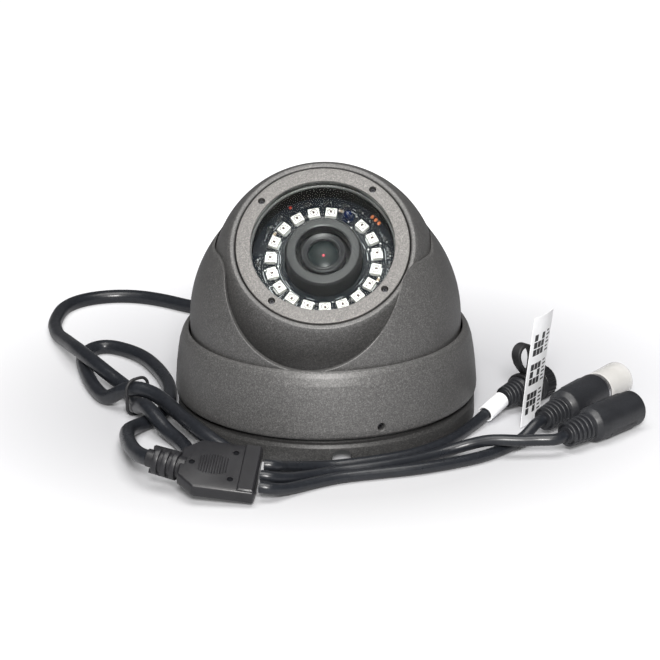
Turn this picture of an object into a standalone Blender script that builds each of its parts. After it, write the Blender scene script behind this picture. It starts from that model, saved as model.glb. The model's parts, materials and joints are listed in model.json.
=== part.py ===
"""A turret dome security camera with its lead folded beside it.

Frame: +Z up, the base stands on z = 0 and its centre is on the Z axis, the lens side faces -Y.
Every number below is in millimetres, and the meshes are scaled to metres as they are made.
"""

import math

import bmesh
import bpy
from mathutils import Matrix, Vector

MM = 0.001
GAP = 0.3  # clearance between two pieces that touch
ROUND = 40  # sides of a large turned piece
SMALL = 16  # sides of a small turned piece

# Mounting base
BASE_RADIUS = 47.2
BASE_HEIGHT = 7.0
WEB_BOTTOM = 4.9
WEB_TOP = 6.5
NECK_RADIUS = 43.2
NECK_TOP = 14.0
FOOT_PITCH = 37.2  # radius of the circle of mounting holes
FOOT_HOLE = 2.2
FOOT_ANGLES = (2, 122, 242)
POST_PITCH = 26.8
POST_ANGLES = (31, 151, 271)
POST_TOP = 10.2
NOTCH_AZIMUTH = 5.7  # the open cable notch, to the right of the front

# Clamp collar
COLLAR_BOTTOM = 8.85
COLLAR_TOP = 29.75
GRUB_HEIGHT = 11.75
GRUB_AZIMUTHS = (20.5, 140.5, 260.5)

# Turret shell: part of a sphere, with a window cut in its front
SHELL_RADIUS = 42.85
SHELL_INNER = 40.75
SHELL_CENTRE = 32.2
SHELL_BOTTOM = 8.2
SHELL_FLANGE = 2.0
SHELL_PAN = -8.3
WINDOW_RADIUS = 27.5
WINDOW_CENTRE = 56.4
SHOULDER = 56.3

# Ball
BALL_RADIUS = 35.65
BALL_CENTRE = 45.6
BALL_INNER = 33.0
BALL_BACK = -28.0
BALL_LIP = 22.9  # radius of the opening behind the glass
LENS_AZIMUTH = -2.4
LENS_ELEVATION = 45.0
LENS_ROLL = 6.84
YOKE_INNER = 36.0
YOKE_OUTER = 37.0
YOKE_HALF_WIDTH = 2.4

# Face of the ball, measured along the lens axis from the ball's centre
FACE_FRONT = 21.0
FACE_OUTER = 26.9
FACE_OPENING = 22.3
FACE_SCREW_PITCH = 24.5
LED_COUNT = 18
LED_PITCH = 16.6
LED_PLACES = 19  # evenly spaced places round the board; the photocell takes the second
LED_FIRST = 13.8
BOARD_TOP = 9.6
BOARD_RADIUS = 22.5

# Lead
CABLE = 4.8
TAIL = 3.6


def radians(*angles):
    return tuple(math.radians(angle) for angle in angles)


def finish(name, colour, roughness, metallic=0.0):
    material = bpy.data.materials.new(name)
    material.use_nodes = True
    shader = material.node_tree.nodes["Principled BSDF"]
    shader.inputs["Base Color"].default_value = (*colour, 1.0)
    shader.inputs["Roughness"].default_value = roughness
    shader.inputs["Metallic"].default_value = metallic
    return material


def clear_scene():
    for thing in list(bpy.data.objects):
        bpy.data.objects.remove(thing)


clear_scene()
PAINT = finish("graphite_paint", (0.085, 0.083, 0.08), 0.45, 0.5)
BLACK_PLASTIC = finish("black_plastic", (0.012, 0.012, 0.013), 0.45)
CABLE_JACKET = finish("cable_jacket", (0.014, 0.015, 0.017), 0.4)
RUBBER = finish("black_rubber", (0.02, 0.02, 0.02), 0.7)
STEEL = finish("steel", (0.55, 0.55, 0.56), 0.3, 1.0)
BRASS = finish("plated_brass", (0.75, 0.68, 0.5), 0.25, 1.0)
GLASS = finish("glass", (0.9, 0.95, 0.95), 0.03)
CIRCUIT = finish("circuit_board", (0.01, 0.011, 0.012), 0.4)
SENSOR = finish("sensor_blue", (0.02, 0.04, 0.12), 0.2)
WHITE_NYLON = finish("white_nylon", (0.8, 0.8, 0.78), 0.5)
CAP_VINYL = finish("clear_vinyl", (0.85, 0.85, 0.8), 0.35)
PAPER = finish("label_paper", (0.85, 0.85, 0.86), 0.6)


def place(name, bm, material, parent=None, matrix=None, hidden=False):
    """Makes an object of a bmesh drawn in millimetres, under its parent and at a matrix in millimetres."""
    bmesh.ops.remove_doubles(bm, verts=bm.verts, dist=1e-5)
    bmesh.ops.recalc_face_normals(bm, faces=bm.faces)
    mesh = bpy.data.meshes.new(name)
    bm.to_mesh(mesh)
    bm.free()
    mesh.transform(Matrix.Scale(MM, 4))
    mesh.shade_smooth()
    mesh.set_sharp_from_angle(angle=math.radians(35))
    obj = bpy.data.objects.new(name, mesh)
    bpy.context.scene.collection.objects.link(obj)
    obj.parent = parent
    if matrix is not None:
        location, rotation, _ = matrix.decompose()
        obj.location = location * MM
        obj.rotation_mode = "QUATERNION"
        obj.rotation_quaternion = rotation
    mesh.materials.append(material)
    obj.hide_render = hidden
    if hidden:
        obj.display_type = "WIRE"
    return obj


def axis_at(name, location, rotation=Matrix.Identity(3)):
    """An empty on a joint's axis, which the pieces that move there hang from."""
    empty = bpy.data.objects.new(name, None)
    empty.empty_display_size = 0.01
    bpy.context.scene.collection.objects.link(empty)
    empty.matrix_world = Matrix.Translation(Vector(location) * MM) @ rotation.to_4x4()
    return empty


def spin_into(bm, outline, sides, spot):
    """Adds a closed outline of (radius, height) points, turned about the Z axis of a spot."""
    before = set(bm.verts)
    points = [bm.verts.new((radius, 0, height)) for radius, height in outline]
    edges = []
    for start, end in zip(points, points[1:] + points[:1]):
        if start.co.x > 0 or end.co.x > 0:
            edges.append(bm.edges.new((start, end)))
    bmesh.ops.spin(
        bm, geom=points + edges, cent=(0, 0, 0), axis=(0, 0, 1), angle=2 * math.pi, steps=sides, use_merge=True
    )
    bmesh.ops.transform(bm, matrix=spot, verts=[vert for vert in bm.verts if vert not in before])


def turned(name, outline, material, parent=None, matrix=None, sides=ROUND, hidden=False, spots=None):
    """A turned body, or one mesh of several copies of it at their spots."""
    bm = bmesh.new()
    for spot in spots or [Matrix.Identity(4)]:
        spin_into(bm, outline, sides, spot)
    return place(name, bm, material, parent, matrix, hidden)


def disc(name, radius, low, high, material, hole=0.0, **options):
    outline = [(radius, high), (radius, low), (hole, low), (hole, high)]
    return turned(name, outline, material, sides=options.pop("sides", SMALL), **options)


def extrude_into(bm, outline, low, high, spot):
    """Adds a prism of an (x, y) outline, from low to high along the Z axis of a spot."""
    face = bm.faces.new([bm.verts.new(spot @ Vector((x, y, low))) for x, y in outline])
    raised = bmesh.ops.extrude_face_region(bm, geom=[face])["geom"]
    moved = [item for item in raised if isinstance(item, bmesh.types.BMVert)]
    bmesh.ops.translate(bm, verts=moved, vec=spot.to_3x3() @ Vector((0, 0, high - low)))


def extruded(name, outline, low, high, material, parent=None, matrix=None, hidden=False):
    bm = bmesh.new()
    extrude_into(bm, outline, low, high, Matrix.Identity(4))
    return place(name, bm, material, parent, matrix, hidden)


def add_box(bm, size, centre, turn=0.0):
    matrix = Matrix.Rotation(turn, 4, "Z") @ Matrix.Translation(centre) @ Matrix.Diagonal((*size, 1))
    bmesh.ops.create_cube(bm, size=1, matrix=matrix)


def box(name, size, centre, material, parent=None, matrix=None, hidden=False):
    bm = bmesh.new()
    add_box(bm, size, centre)
    return place(name, bm, material, parent, matrix, hidden)


def arc(centre, radius, start, end, steps):
    """Points on an arc, with angles in degrees from the first axis towards the second."""
    angles = [math.radians(start + (end - start) * i / steps) for i in range(steps + 1)]
    return [(centre[0] + radius * math.cos(a), centre[1] + radius * math.sin(a)) for a in angles]


def sphere_side(radius, centre, top, bottom, steps):
    """(radius, height) points down the side of a sphere on the axis, between two heights."""
    start = math.degrees(math.asin((top - centre) / radius))
    end = math.degrees(math.asin((bottom - centre) / radius))
    return arc((0, centre), radius, start, end, steps)


def boolean(target, other, operation):
    modifier = target.modifiers.new(other.name, "BOOLEAN")
    modifier.operation = operation
    modifier.object = other
    other.hide_render = True
    other.display_type = "WIRE"


def cut(target, *cutters):
    for cutter in cutters:
        boolean(target, cutter, "DIFFERENCE")


def joined(target, *others):
    for other in others:
        boolean(target, other, "UNION")


def along(start, direction):
    """A matrix whose Z axis runs from start along direction."""
    turn = Vector((0, 0, 1)).rotation_difference(Vector(direction))
    return Matrix.Translation(Vector(start)) @ turn.to_matrix().to_4x4()


def front_azimuth(degrees):
    """The horizontal direction at an angle to the right of the front."""
    angle = math.radians(degrees)
    return Vector((math.sin(angle), -math.cos(angle), 0))


def upright(degrees):
    """Local X across, local Y up and local Z outwards, at an angle to the right of the front."""
    out = front_azimuth(degrees)
    across = Vector((0, 0, 1)).cross(out)
    return Matrix((across, (0, 0, 1), out)).transposed().to_4x4()


def arch(half_width, top, corner, bottom):
    """An outline with a flat foot and round top corners."""
    right = arc((half_width - corner, top - corner), corner, 0, 90, 4)
    left = arc((corner - half_width, top - corner), corner, 90, 180, 4)
    return [(-half_width, bottom), (half_width, bottom), *right, *left]


# ---------------------------------------------------------------- base


def at_angles(radius, angles):
    """Matrices on a circle round the vertical axis. Each is turned a little, so that no two edges line up."""
    return [
        Matrix.Rotation(math.radians(angle), 4, "Z")
        @ Matrix.Translation((radius, 0, 0))
        @ Matrix.Rotation(0.13, 4, "Z")
        for angle in angles
    ]


def mounting_base():
    outline = [
        (44.9, BASE_HEIGHT), (46.6, BASE_HEIGHT), (BASE_RADIUS, 5.9), (BASE_RADIUS + 0.1, 0.5),
        (BASE_RADIUS - 0.3, 0), (43.9, 0), (43.9, WEB_BOTTOM), (11.0, WEB_BOTTOM), (11.0, WEB_TOP),
        (40.8, WEB_TOP), (40.8, NECK_TOP), (NECK_RADIUS, NECK_TOP), (NECK_RADIUS, 8.5), (44.9, 8.5),
    ]
    base = turned("mounting_base", outline, PAINT)
    feet = at_angles(FOOT_PITCH, FOOT_ANGLES)
    posts = at_angles(POST_PITCH, POST_ANGLES)
    added = bmesh.new()
    taken = bmesh.new()
    for spot in feet:
        spin_into(added, [(0, 5.5), (4.6, 5.5), (4.6, 0), (0, 0)], SMALL, spot)
        spin_into(taken, [(0, 8), (FOOT_HOLE, 8), (FOOT_HOLE, -1), (0, -1)], SMALL, spot)
    for spot in posts:
        spin_into(added, [(0, POST_TOP), (2.4, POST_TOP), (2.4, 5.5), (0, 5.5)], SMALL, spot)
        spin_into(taken, [(0, 12), (1.3, 12), (1.3, 6.9), (0, 6.9)], SMALL, spot)
    extrude_into(taken, arch(3.0, 5.5, 2.6, -1), 42, 50, upright(NOTCH_AZIMUTH))
    extrude_into(taken, arch(4.0, 5.6, 2.6, -1), 42, 50, upright(180))
    joined(base, place("base_bosses", added, PAINT, hidden=True))
    cut(base, place("base_cuts", taken, PAINT, hidden=True))


def pan_bearing():
    """The washer that the shell turns on, and the ring and screws that hold the shell down."""
    disc("pan_washer", 34.0, WEB_TOP + GAP, SHELL_BOTTOM - GAP, WHITE_NYLON, hole=31.0, sides=ROUND)
    low = SHELL_BOTTOM + SHELL_FLANGE + GAP
    ring = disc("pan_retainer", 33.2, low, low + 1.7, STEEL, hole=24.0, sides=ROUND)
    posts = at_angles(POST_PITCH, POST_ANGLES)
    cut(ring, disc("retainer_holes", 1.3, 9, 14, STEEL, spots=posts, hidden=True))
    head = low + 1.7 + GAP
    outline = [
        (0, head + 0.9), (1.2, head + 1.3), (2.0, head + 0.9), (2.0, head), (1.0, head), (1.0, 7.2), (0, 7.2),
    ]
    for number, spot in enumerate(posts, 1):
        turned(f"retainer_screw_{number}", outline, STEEL, matrix=spot, sides=12)


def clamp_collar():
    outer = [
        (44.0, COLLAR_TOP), (44.8, 29.2), (45.5, 28.0), (46.3, 25.5), (46.9, 22.0), (47.4, 18.0),
        (47.7, 14.0), (47.9, 11.0), (47.8, 9.5), (47.2, COLLAR_BOTTOM),
    ]
    inner = [
        (43.6, COLLAR_BOTTOM), (43.6, 10.3), (45.5, 10.3), (45.3, 20.0), (44.6, 25.5), (43.35, 28.4),
        (43.35, 29.6),
    ]
    collar = turned("clamp_collar", outer + inner, PAINT)
    spots = [along((0, 0, GRUB_HEIGHT), front_azimuth(azimuth)) for azimuth in GRUB_AZIMUTHS]
    cut(collar, disc("grub_holes", 1.15, 42, 50, PAINT, spots=spots, hidden=True, sides=12))
    near = NECK_RADIUS + GAP
    outline = [(0.45, 46.9), (0.85, 46.7), (0.85, 43.9), (0.4, near), (0, near), (0, 45.9), (0.45, 45.9)]
    for number, spot in enumerate(spots, 1):
        turned(f"grub_screw_{number}", outline, STEEL, matrix=spot, sides=12)


def base_lead():
    """The bush in the rear notch, the lead inside the base and the plug on its end."""
    bush = extruded("base_grommet", arch(3.6, 5.2, 2.4, 0.4), 42.3, 48.5, RUBBER, None, upright(180))
    nose = [(0, 55.8), (2.6, 55.8), (2.9, 48.0), (0, 48.0)]
    joined(bush, turned("grommet_nose", nose, RUBBER, None, along((0, 0, 3.0), (0, 1, 0)), 16, True))
    cable("inner_lead", [(0, 42.0, 2.5), (0, 30, 2.5), (0, 18, 2.5), (0, 8.6, 2.5)], 4.2)
    box("lead_plug", (9, 8, 4.6), (0, 4.3, 2.8), WHITE_NYLON)


# ---------------------------------------------------------------- shell


def turret_shell():
    pan = axis_at("pan_axis", (0, 0, 0), Matrix.Rotation(math.radians(SHELL_PAN), 3, "Z"))
    flange_top = SHELL_BOTTOM + SHELL_FLANGE
    outer = sphere_side(SHELL_RADIUS, SHELL_CENTRE, 54.0, SHELL_BOTTOM, 12)
    inner = sphere_side(SHELL_INNER, SHELL_CENTRE, flange_top, 53.1, 9)
    socket = sphere_side(BALL_RADIUS + GAP, BALL_CENTRE, 53.6, 59.2, 3)
    rim = [(33.6, 59.4), (34.2, 59.2), (34.85, 58.2), (35.85, 56.2)]
    outline = outer + [(30.0, SHELL_BOTTOM), (30.0, flange_top)] + inner + socket + rim
    shell = turned("turret_shell", outline, PAINT, pan, sides=56)

    corner = 4.0
    side = [(x, z) for x, z in arc((0, WINDOW_CENTRE), WINDOW_RADIUS, -90, -8.6, 12)]
    edge = side[-1][0] + corner
    shoulder = arc((edge, SHOULDER - corner), corner, 180, 90, 4)
    right = side + shoulder + [(60, SHOULDER), (60, 90)]
    left = [(-x, z) for x, z in reversed(right) if x > 0]
    facing = Matrix.Rotation(math.radians(90), 4, "X")
    cut(shell, extruded("window", right + left, 9, 60, PAINT, pan, facing, True))
    ramp = [(-60, SHOULDER), (-9, SHOULDER), (-6.5, 56.9), (-4, 58.1), (-1.5, 59.3), (0, 60.5), (-60, 60.5)]
    sideways = Matrix(((0, 0, 1), (1, 0, 0), (0, 1, 0))).to_4x4()
    cut(shell, extruded("ear_ramp", ramp, -60, 60, PAINT, pan, sideways, True))
    for side_name, sign in (("left", -1), ("right", 1)):
        pocket = along((0, 0, BALL_CENTRE), sign * tilt_direction())
        cutter = disc(f"pin_pocket_{side_name}", 1.5, 36, 40.1, PAINT, matrix=pocket, hidden=True, sides=12)
        cut(shell, cutter)


def tilt_direction():
    """The horizontal direction of the tilt axis, towards the viewer's right."""
    return Vector((math.cos(math.radians(LENS_AZIMUTH)), math.sin(math.radians(LENS_AZIMUTH)), 0))


def lens_frame():
    """Axes with Z along the lens, X along the tilt axis and Y up the face."""
    elevation = math.radians(LENS_ELEVATION)
    across = tilt_direction()
    out = front_azimuth(LENS_AZIMUTH) * math.cos(elevation) + Vector((0, 0, math.sin(elevation)))
    return Matrix((across, out.cross(across), out)).transposed()


# ---------------------------------------------------------------- yoke and ball


def tilt_yoke():
    tilt = axis_at("tilt_axis", (0, 0, BALL_CENTRE), lens_frame())
    back = BALL_BACK - GAP
    plate = back - 1.2
    start = math.degrees(math.asin(2.2 / YOKE_OUTER))
    outer_end = math.degrees(math.asin(plate / YOKE_OUTER))
    inner_end = math.degrees(math.asin(back / YOKE_INNER))
    right = arc((0, 0), YOKE_OUTER, start, outer_end, 12)
    inside = arc((0, 0), YOKE_INNER, inner_end, start, 12)
    outline = right + [(-x, z) for x, z in reversed(right)] + [(-x, z) for x, z in reversed(inside)] + inside
    facing = Matrix.Rotation(math.radians(90), 4, "X")
    yoke = extruded("tilt_yoke", outline, -YOKE_HALF_WIDTH, YOKE_HALF_WIDTH, STEEL, tilt, facing)
    joined(yoke, disc("yoke_plate", 9.0, plate, back, STEEL, parent=tilt, hidden=True))
    cut(yoke, disc("yoke_bore", 5.8, plate - 1, back + 1, STEEL, parent=tilt, hidden=True))
    for side_name, sign in (("left", -1), ("right", 1)):
        spot = along((0, 0, 0), (sign, 0, 0))
        cut(yoke, disc(f"yoke_eye_{side_name}", 1.5, 35, 38, STEEL, parent=tilt, matrix=spot, hidden=True))
        name = f"trunnion_pin_{side_name}"
        disc(name, 1.2, YOKE_INNER + 0.1, 39.8, STEEL, parent=tilt, matrix=spot, sides=12)


def ball_shell(ball):
    outer = sphere_side(BALL_RADIUS, 0, 20.5, BALL_BACK, 12)
    cavity = sphere_side(BALL_INNER, 0, BALL_BACK + 2.6, 14.0, 8)
    outline = (
        [(BALL_LIP, 14.0), (BALL_LIP, 16.5), (27.2, 16.5), (27.2, 20.3), (27.6, 20.9), (28.4, 21.0)]
        + outer
        + [(5.5, BALL_BACK), (5.5, -31.6), (3.5, -31.6), (3.5, BALL_BACK + 2.6)]
        + cavity
    )
    shell = turned("ball_shell", outline, PAINT, ball)
    disc("swivel_clip", 8.2, -31.0, -29.8, STEEL, hole=5.8, parent=ball, sides=24)
    return shell


def face(ball, shell):
    """The face ring, the glass and its seal, and the four screws through the ring."""
    outline = [
        (FACE_OPENING, FACE_FRONT), (FACE_OUTER - 0.3, FACE_FRONT), (FACE_OUTER, FACE_FRONT - 0.3),
        (FACE_OUTER, 16.8), (23.1, 16.8), (23.1, 20.2), (FACE_OPENING, 20.2),
    ]
    ring = turned("face_ring", outline, PAINT, ball)
    disc("front_glass", 22.8, 17.9, 19.9, GLASS, parent=ball, sides=48)
    disc("glass_seal", 22.8, 16.8, 17.6, RUBBER, hole=22.0, parent=ball, sides=48)
    spots = at_angles(FACE_SCREW_PITCH, (45, 135, 225, 315))
    holes = disc("face_holes", 1.1, 12, 23, PAINT, parent=ball, spots=spots, hidden=True, sides=12)
    cut(ring, holes)
    cut(shell, holes)
    head = [(0.4, 19.8), (0.8, 19.6), (0.8, 14.4), (0, 14.2), (0, 19.0), (0.4, 19.0)]
    for number, spot in enumerate(spots, 1):
        turned(f"face_screw_{number}", head, STEEL, ball, spot, 10)


def board_angle(place_number):
    """The turn about the lens axis of one of the places round the board, counted clockwise from the top."""
    return math.radians(90 - LED_FIRST - place_number * 360 / LED_PLACES)


def infrared_board(ball):
    """The round board with its lamps, the photocell, and the black skirt that closes the space behind it."""
    low = BOARD_TOP - 1.6
    board = disc("ir_board", BOARD_RADIUS, low, BOARD_TOP, CIRCUIT, hole=12.2, parent=ball, sides=48)
    lamps = bmesh.new()
    for number in range(LED_PLACES):
        if number != 1:
            add_box(lamps, (2.8, 3.5, 1.95), (LED_PITCH, 0, BOARD_TOP + 0.75), board_angle(number))
    joined(board, place("lamps", lamps, CIRCUIT, ball, hidden=True))
    spot = Matrix.Rotation(board_angle(1), 4, "Z") @ Matrix.Translation((LED_PITCH, 0, 0))
    dome = [(0, BOARD_TOP + 4.4), (0.9, BOARD_TOP + 4.1), (1.5, BOARD_TOP + 3.0), (1.5, BOARD_TOP + GAP)]
    turned("photocell", dome + [(0, BOARD_TOP + GAP)], SENSOR, ball, spot, 16)
    rim = low - GAP
    outer, inner, lip = BOARD_RADIUS, BOARD_RADIUS - 0.8, BOARD_RADIUS - 1.7
    cup = [(lip, rim), (outer, rim), (outer, 1.0), (inner, 1.0), (inner, rim - 0.8), (lip, rim - 0.8)]
    turned("board_cup", cup, BLACK_PLASTIC, ball)


def lens_module(ball):
    """The shroud, the threaded lens in its holder, and the sensor board on its four pillars."""
    shroud = [(8.4, 17.4), (11.5, 17.4), (11.9, 17.0), (11.9, 8.0), (10.6, 8.0), (10.6, 12.6), (8.4, 13.2)]
    turned("lens_shroud", shroud, BLACK_PLASTIC, ball, sides=40)
    barrel = [
        (4.9, 15.2), (6.6, 16.0), (7.0, 15.7), (7.0, 10.2), (6.0, 10.0), (6.0, -1.5), (3.0, -1.5),
        (3.0, 12.4), (4.9, 12.7),
    ]
    turned("lens_barrel", barrel, BLACK_PLASTIC, ball, sides=32)
    glass = [(0, 15.1), (2.4, 14.8), (4.0, 14.2), (4.5, 13.6), (4.5, 13.0), (0, 13.0)]
    turned("lens_glass", glass, GLASS, ball, sides=24)

    holder = box("lens_holder", (18, 18, 13.2), (0, 0, 0.5), BLACK_PLASTIC, ball)
    cut(holder, disc("holder_bore", 6.3, -1.9, 9, BLACK_PLASTIC, parent=ball, hidden=True, sides=32))
    pocket = box("holder_pocket", (10, 10, 5.5), (0, 0, -4.4), BLACK_PLASTIC, ball, hidden=True)
    cut(holder, pocket)
    box("sensor_board", (34, 34, 1.6), (0, 0, -7.2), CIRCUIT, ball)
    box("image_sensor", (8, 8, 1.4), (0, 0, -5.4), SENSOR, ball)
    number = 0
    for x in (-11.5, 11.5):
        for y in (-11.5, 11.5):
            number += 1
            spot = Matrix.Translation((x, y, 0))
            top = BOARD_TOP - 1.6 - GAP
            disc(f"board_pillar_{number}", 1.8, -6.1, top, BRASS, parent=ball, matrix=spot, sides=8)


# ---------------------------------------------------------------- lead


def smooth_route(route, spacing):
    """Evenly spaced points on a Catmull-Rom curve through the route."""
    points = [Vector(p) for p in route]
    padded = [2 * points[0] - points[1], *points, 2 * points[-1] - points[-2]]
    fine = [points[0]]
    for a, b, c, d in zip(padded, padded[1:], padded[2:], padded[3:]):
        for i in range(1, 21):
            t = i / 20
            fine.append(
                0.5 * (2 * b + (c - a) * t + (2 * a - 5 * b + 4 * c - d) * t**2 + (3 * b - a - 3 * c + d) * t**3)
            )
    length = sum((q - p).length for p, q in zip(fine, fine[1:]))
    count = max(2, round(length / spacing))
    step = length / count
    kept = [fine[0]]
    walked = 0.0
    for p, q in zip(fine, fine[1:]):
        walked += (q - p).length
        while walked >= step * len(kept) and len(kept) < count:
            back = (walked - step * len(kept)) / max((q - p).length, 1e-9)
            kept.append(q + (p - q) * back)
    return kept + [fine[-1]]


def cable(name, route, diameter, material=CABLE_JACKET, spacing=None, closed=False):
    points = smooth_route(route, spacing or 2.2 * diameter)
    curve = bpy.data.curves.new(name, "CURVE")
    curve.dimensions = "3D"
    curve.bevel_depth = diameter / 2 * MM
    curve.bevel_resolution = 2
    curve.use_fill_caps = not closed
    spline = curve.splines.new("POLY")
    if closed:
        points = points[:-1]
        spline.use_cyclic_u = True
    spline.points.add(len(points) - 1)
    for spot, point in zip(spline.points, points):
        spot.co = (*(point * MM), 1)
    curve.materials.append(material)
    obj = bpy.data.objects.new(name, curve)
    bpy.context.scene.collection.objects.link(obj)
    return obj


# The block where the lead splits lies on the folded lead, with its rear edge and its left end up.
BLOCK_PLACE = (
    Matrix.Translation((-32.8, -67.0, 7.0))
    @ Matrix.Rotation(math.radians(-6), 4, "Z")
    @ Matrix.Rotation(math.radians(6), 4, "Y")
    @ Matrix.Rotation(math.radians(22), 4, "X")
)
RELIEF_PLACE = BLOCK_PLACE @ Matrix.Translation((-9, 0, 0)) @ Matrix.Rotation(math.radians(-12), 4, "Z")
TAIL_LEVEL = 0.9  # the tails leave the block a little above its middle


def on_block(x, y, z=TAIL_LEVEL):
    return tuple(BLOCK_PLACE @ Vector((x, y, z)))


MAIN_ROUTE = [
    (0, 56.4, 3.0), (-0.6, 61.5, 2.7), (-5.0, 69.0, 2.45), (-13, 75.5, 2.45), (-22, 81, 2.45), (-35, 88, 2.45),
    (-48.8, 96.0, 2.45), (-57.8, 102.4, 2.45), (-66.3, 106.7, 2.45), (-75, 108.1, 2.45), (-83.5, 106.1, 2.45),
    (-89.9, 101.3, 2.45), (-93.8, 93.3, 2.45), (-94.9, 80.1, 2.45), (-93.9, 72.1, 2.7), (-92, 63.6, 3.5),
    (-89.3, 56.1, 4.7), (-86.3, 47.5, 6.1), (-83.2, 39.6, 7.2), (-79.9, 32.5, 7.6), (-76.9, 27.2, 7.3),
    (-74, 23.3, 6.5), (-71.3, 20.2, 5.5), (-68.7, 17.7, 4.4), (-66.3, 15.2, 3.5), (-62.3, 8, 3.0),
    (-60.7, -1.5, 3.4), (-59.6, -8.0, 4.9), (-57.8, -13.0, 7.4), (-55.6, -17.6, 7.8), (-52.9, -21.8, 6.2),
    (-49.4, -26.3, 3.8), (-45.6, -31.5, 2.6), (-42.8, -38.6, 2.45), (-41.4, -45.4, 2.45), (-41.0, -51.5, 2.45),
    (-39.7, -56.3, 2.45), (-36.2, -59.8, 2.45), (-31.4, -61.1, 2.45), (-26.6, -59.8, 2.45), (-23.1, -56.3, 2.45),
    (-22.4, -51.5, 2.6), (-25.4, -47.6, 3.2), (-30.6, -44.2, 4.8), (-36.4, -39.2, 7.0), (-41, -32.5, 8.0),
    (-45.0, -23.6, 7.6), (-48.4, -16, 7.5), (-51.3, -10, 7.6), (-55.0, -5.4, 8.3), (-60, -2.4, 9.0),
    (-64.7, 0.0, 7.6), (-68.4, 3.0, 4.6), (-71.4, 6.4, 2.7), (-74, 11.6, 2.45), (-77.3, 20.9, 2.45),
    (-80.3, 33, 2.45), (-81.9, 43.4, 2.45), (-80.7, 50.5, 2.45), (-76.4, 54.8, 2.45), (-70.6, 53.2, 2.45),
    (-62.2, 45.1, 2.45), (-56, 32.4, 2.45), (-52.2, 20.1, 2.45), (-50.9, 11, 2.45), (-50.8, 3, 2.45),
    (-51.6, -5, 2.45), (-53.6, -10.6, 2.45), (-56.4, -15.2, 2.45), (-59.6, -19.8, 2.9), (-61.2, -25, 4.0),
    (-61.6, -30.9, 5.1), (-60.9, -38.6, 6.3), (-59.6, -45.7, 7.3), (-57.9, -52.1, 8.1), (-55.9, -57.4, 8.9),
    (-53.9, -61.0, 9.6),
]


def splitter_block():
    """The moulded block between the lead and its three tails, with its strain relief."""
    section = [
        (-10.4, 0.7), (-9.6, 3.2), (9.6, 3.2), (10.4, 0.7), (10.4, -0.6), (6.2, -3.2), (-6.2, -3.2), (-10.4, -0.6),
    ]
    bm = bmesh.new()
    rings = []
    for x, width in ((-10.8, 0.55), (-5.5, 1.0), (12.7, 1.0)):
        rings.append([bm.verts.new((x, y * width, z)) for y, z in section])
    for first, second in zip(rings, rings[1:]):
        for i in range(len(section)):
            j = (i + 1) % len(section)
            bm.faces.new((first[i], first[j], second[j], second[i]))
    bm.faces.new(rings[0])
    bm.faces.new(rings[-1])
    block = place("splitter_block", bm, BLACK_PLASTIC, None, BLOCK_PLACE)
    neck = [(0, 9.5), (3.6, 9.5), (4.2, 8.9), (4.4, 0), (0, 0)]
    spot = RELIEF_PLACE @ along((0, 0, 0), (-1, 0, 0))
    joined(block, turned("block_relief", neck, BLACK_PLASTIC, None, spot, 16, True))


def folded_lead():
    entry = tuple(RELIEF_PLACE @ Vector((-11.3, 0, 0)))
    cable("main_cable", MAIN_ROUTE + [entry], CABLE, spacing=7.6)
    # The wire tie holds the two runs where one crosses the other.
    across = Vector((0.75, 0.66, 0))
    centre = Vector((-60.3, -2.2, 6.4))
    loop = arc((1.2, -2.8), 3.05, -90, 0, 2) + arc((1.2, 2.8), 3.05, 0, 90, 2)
    loop += arc((-1.2, 2.8), 3.05, 90, 180, 2) + arc((-1.2, -2.8), 3.05, 180, 270, 2)
    ring = [centre + across * x + Vector((0, 0, z)) for x, z in loop + loop[:1]]
    cable("cable_tie", ring, 1.0, RUBBER, 2.6, True)


SERVICE_START = Vector((56.5, -5.0, 5.6))
SERVICE_AXIS = Vector((math.cos(math.radians(47)), math.sin(math.radians(47)), 0))
SLEEVE_AXIS = Vector((0.585, 0.786, 0.2)).normalized()
POWER_START = Vector((73.3, -38.2, 5.9))
POWER_AXIS = Vector((math.cos(math.radians(44.5)), math.sin(math.radians(44.5)), 0))
VIDEO_START = Vector((67.6, -25.4, 6.1))
VIDEO_AXIS = Vector((math.cos(math.radians(52.5)), math.sin(math.radians(52.5)), 0))
STRAP_LEAN = 0.3  # how far the strap's loop leans back towards the boot, for its height


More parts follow.
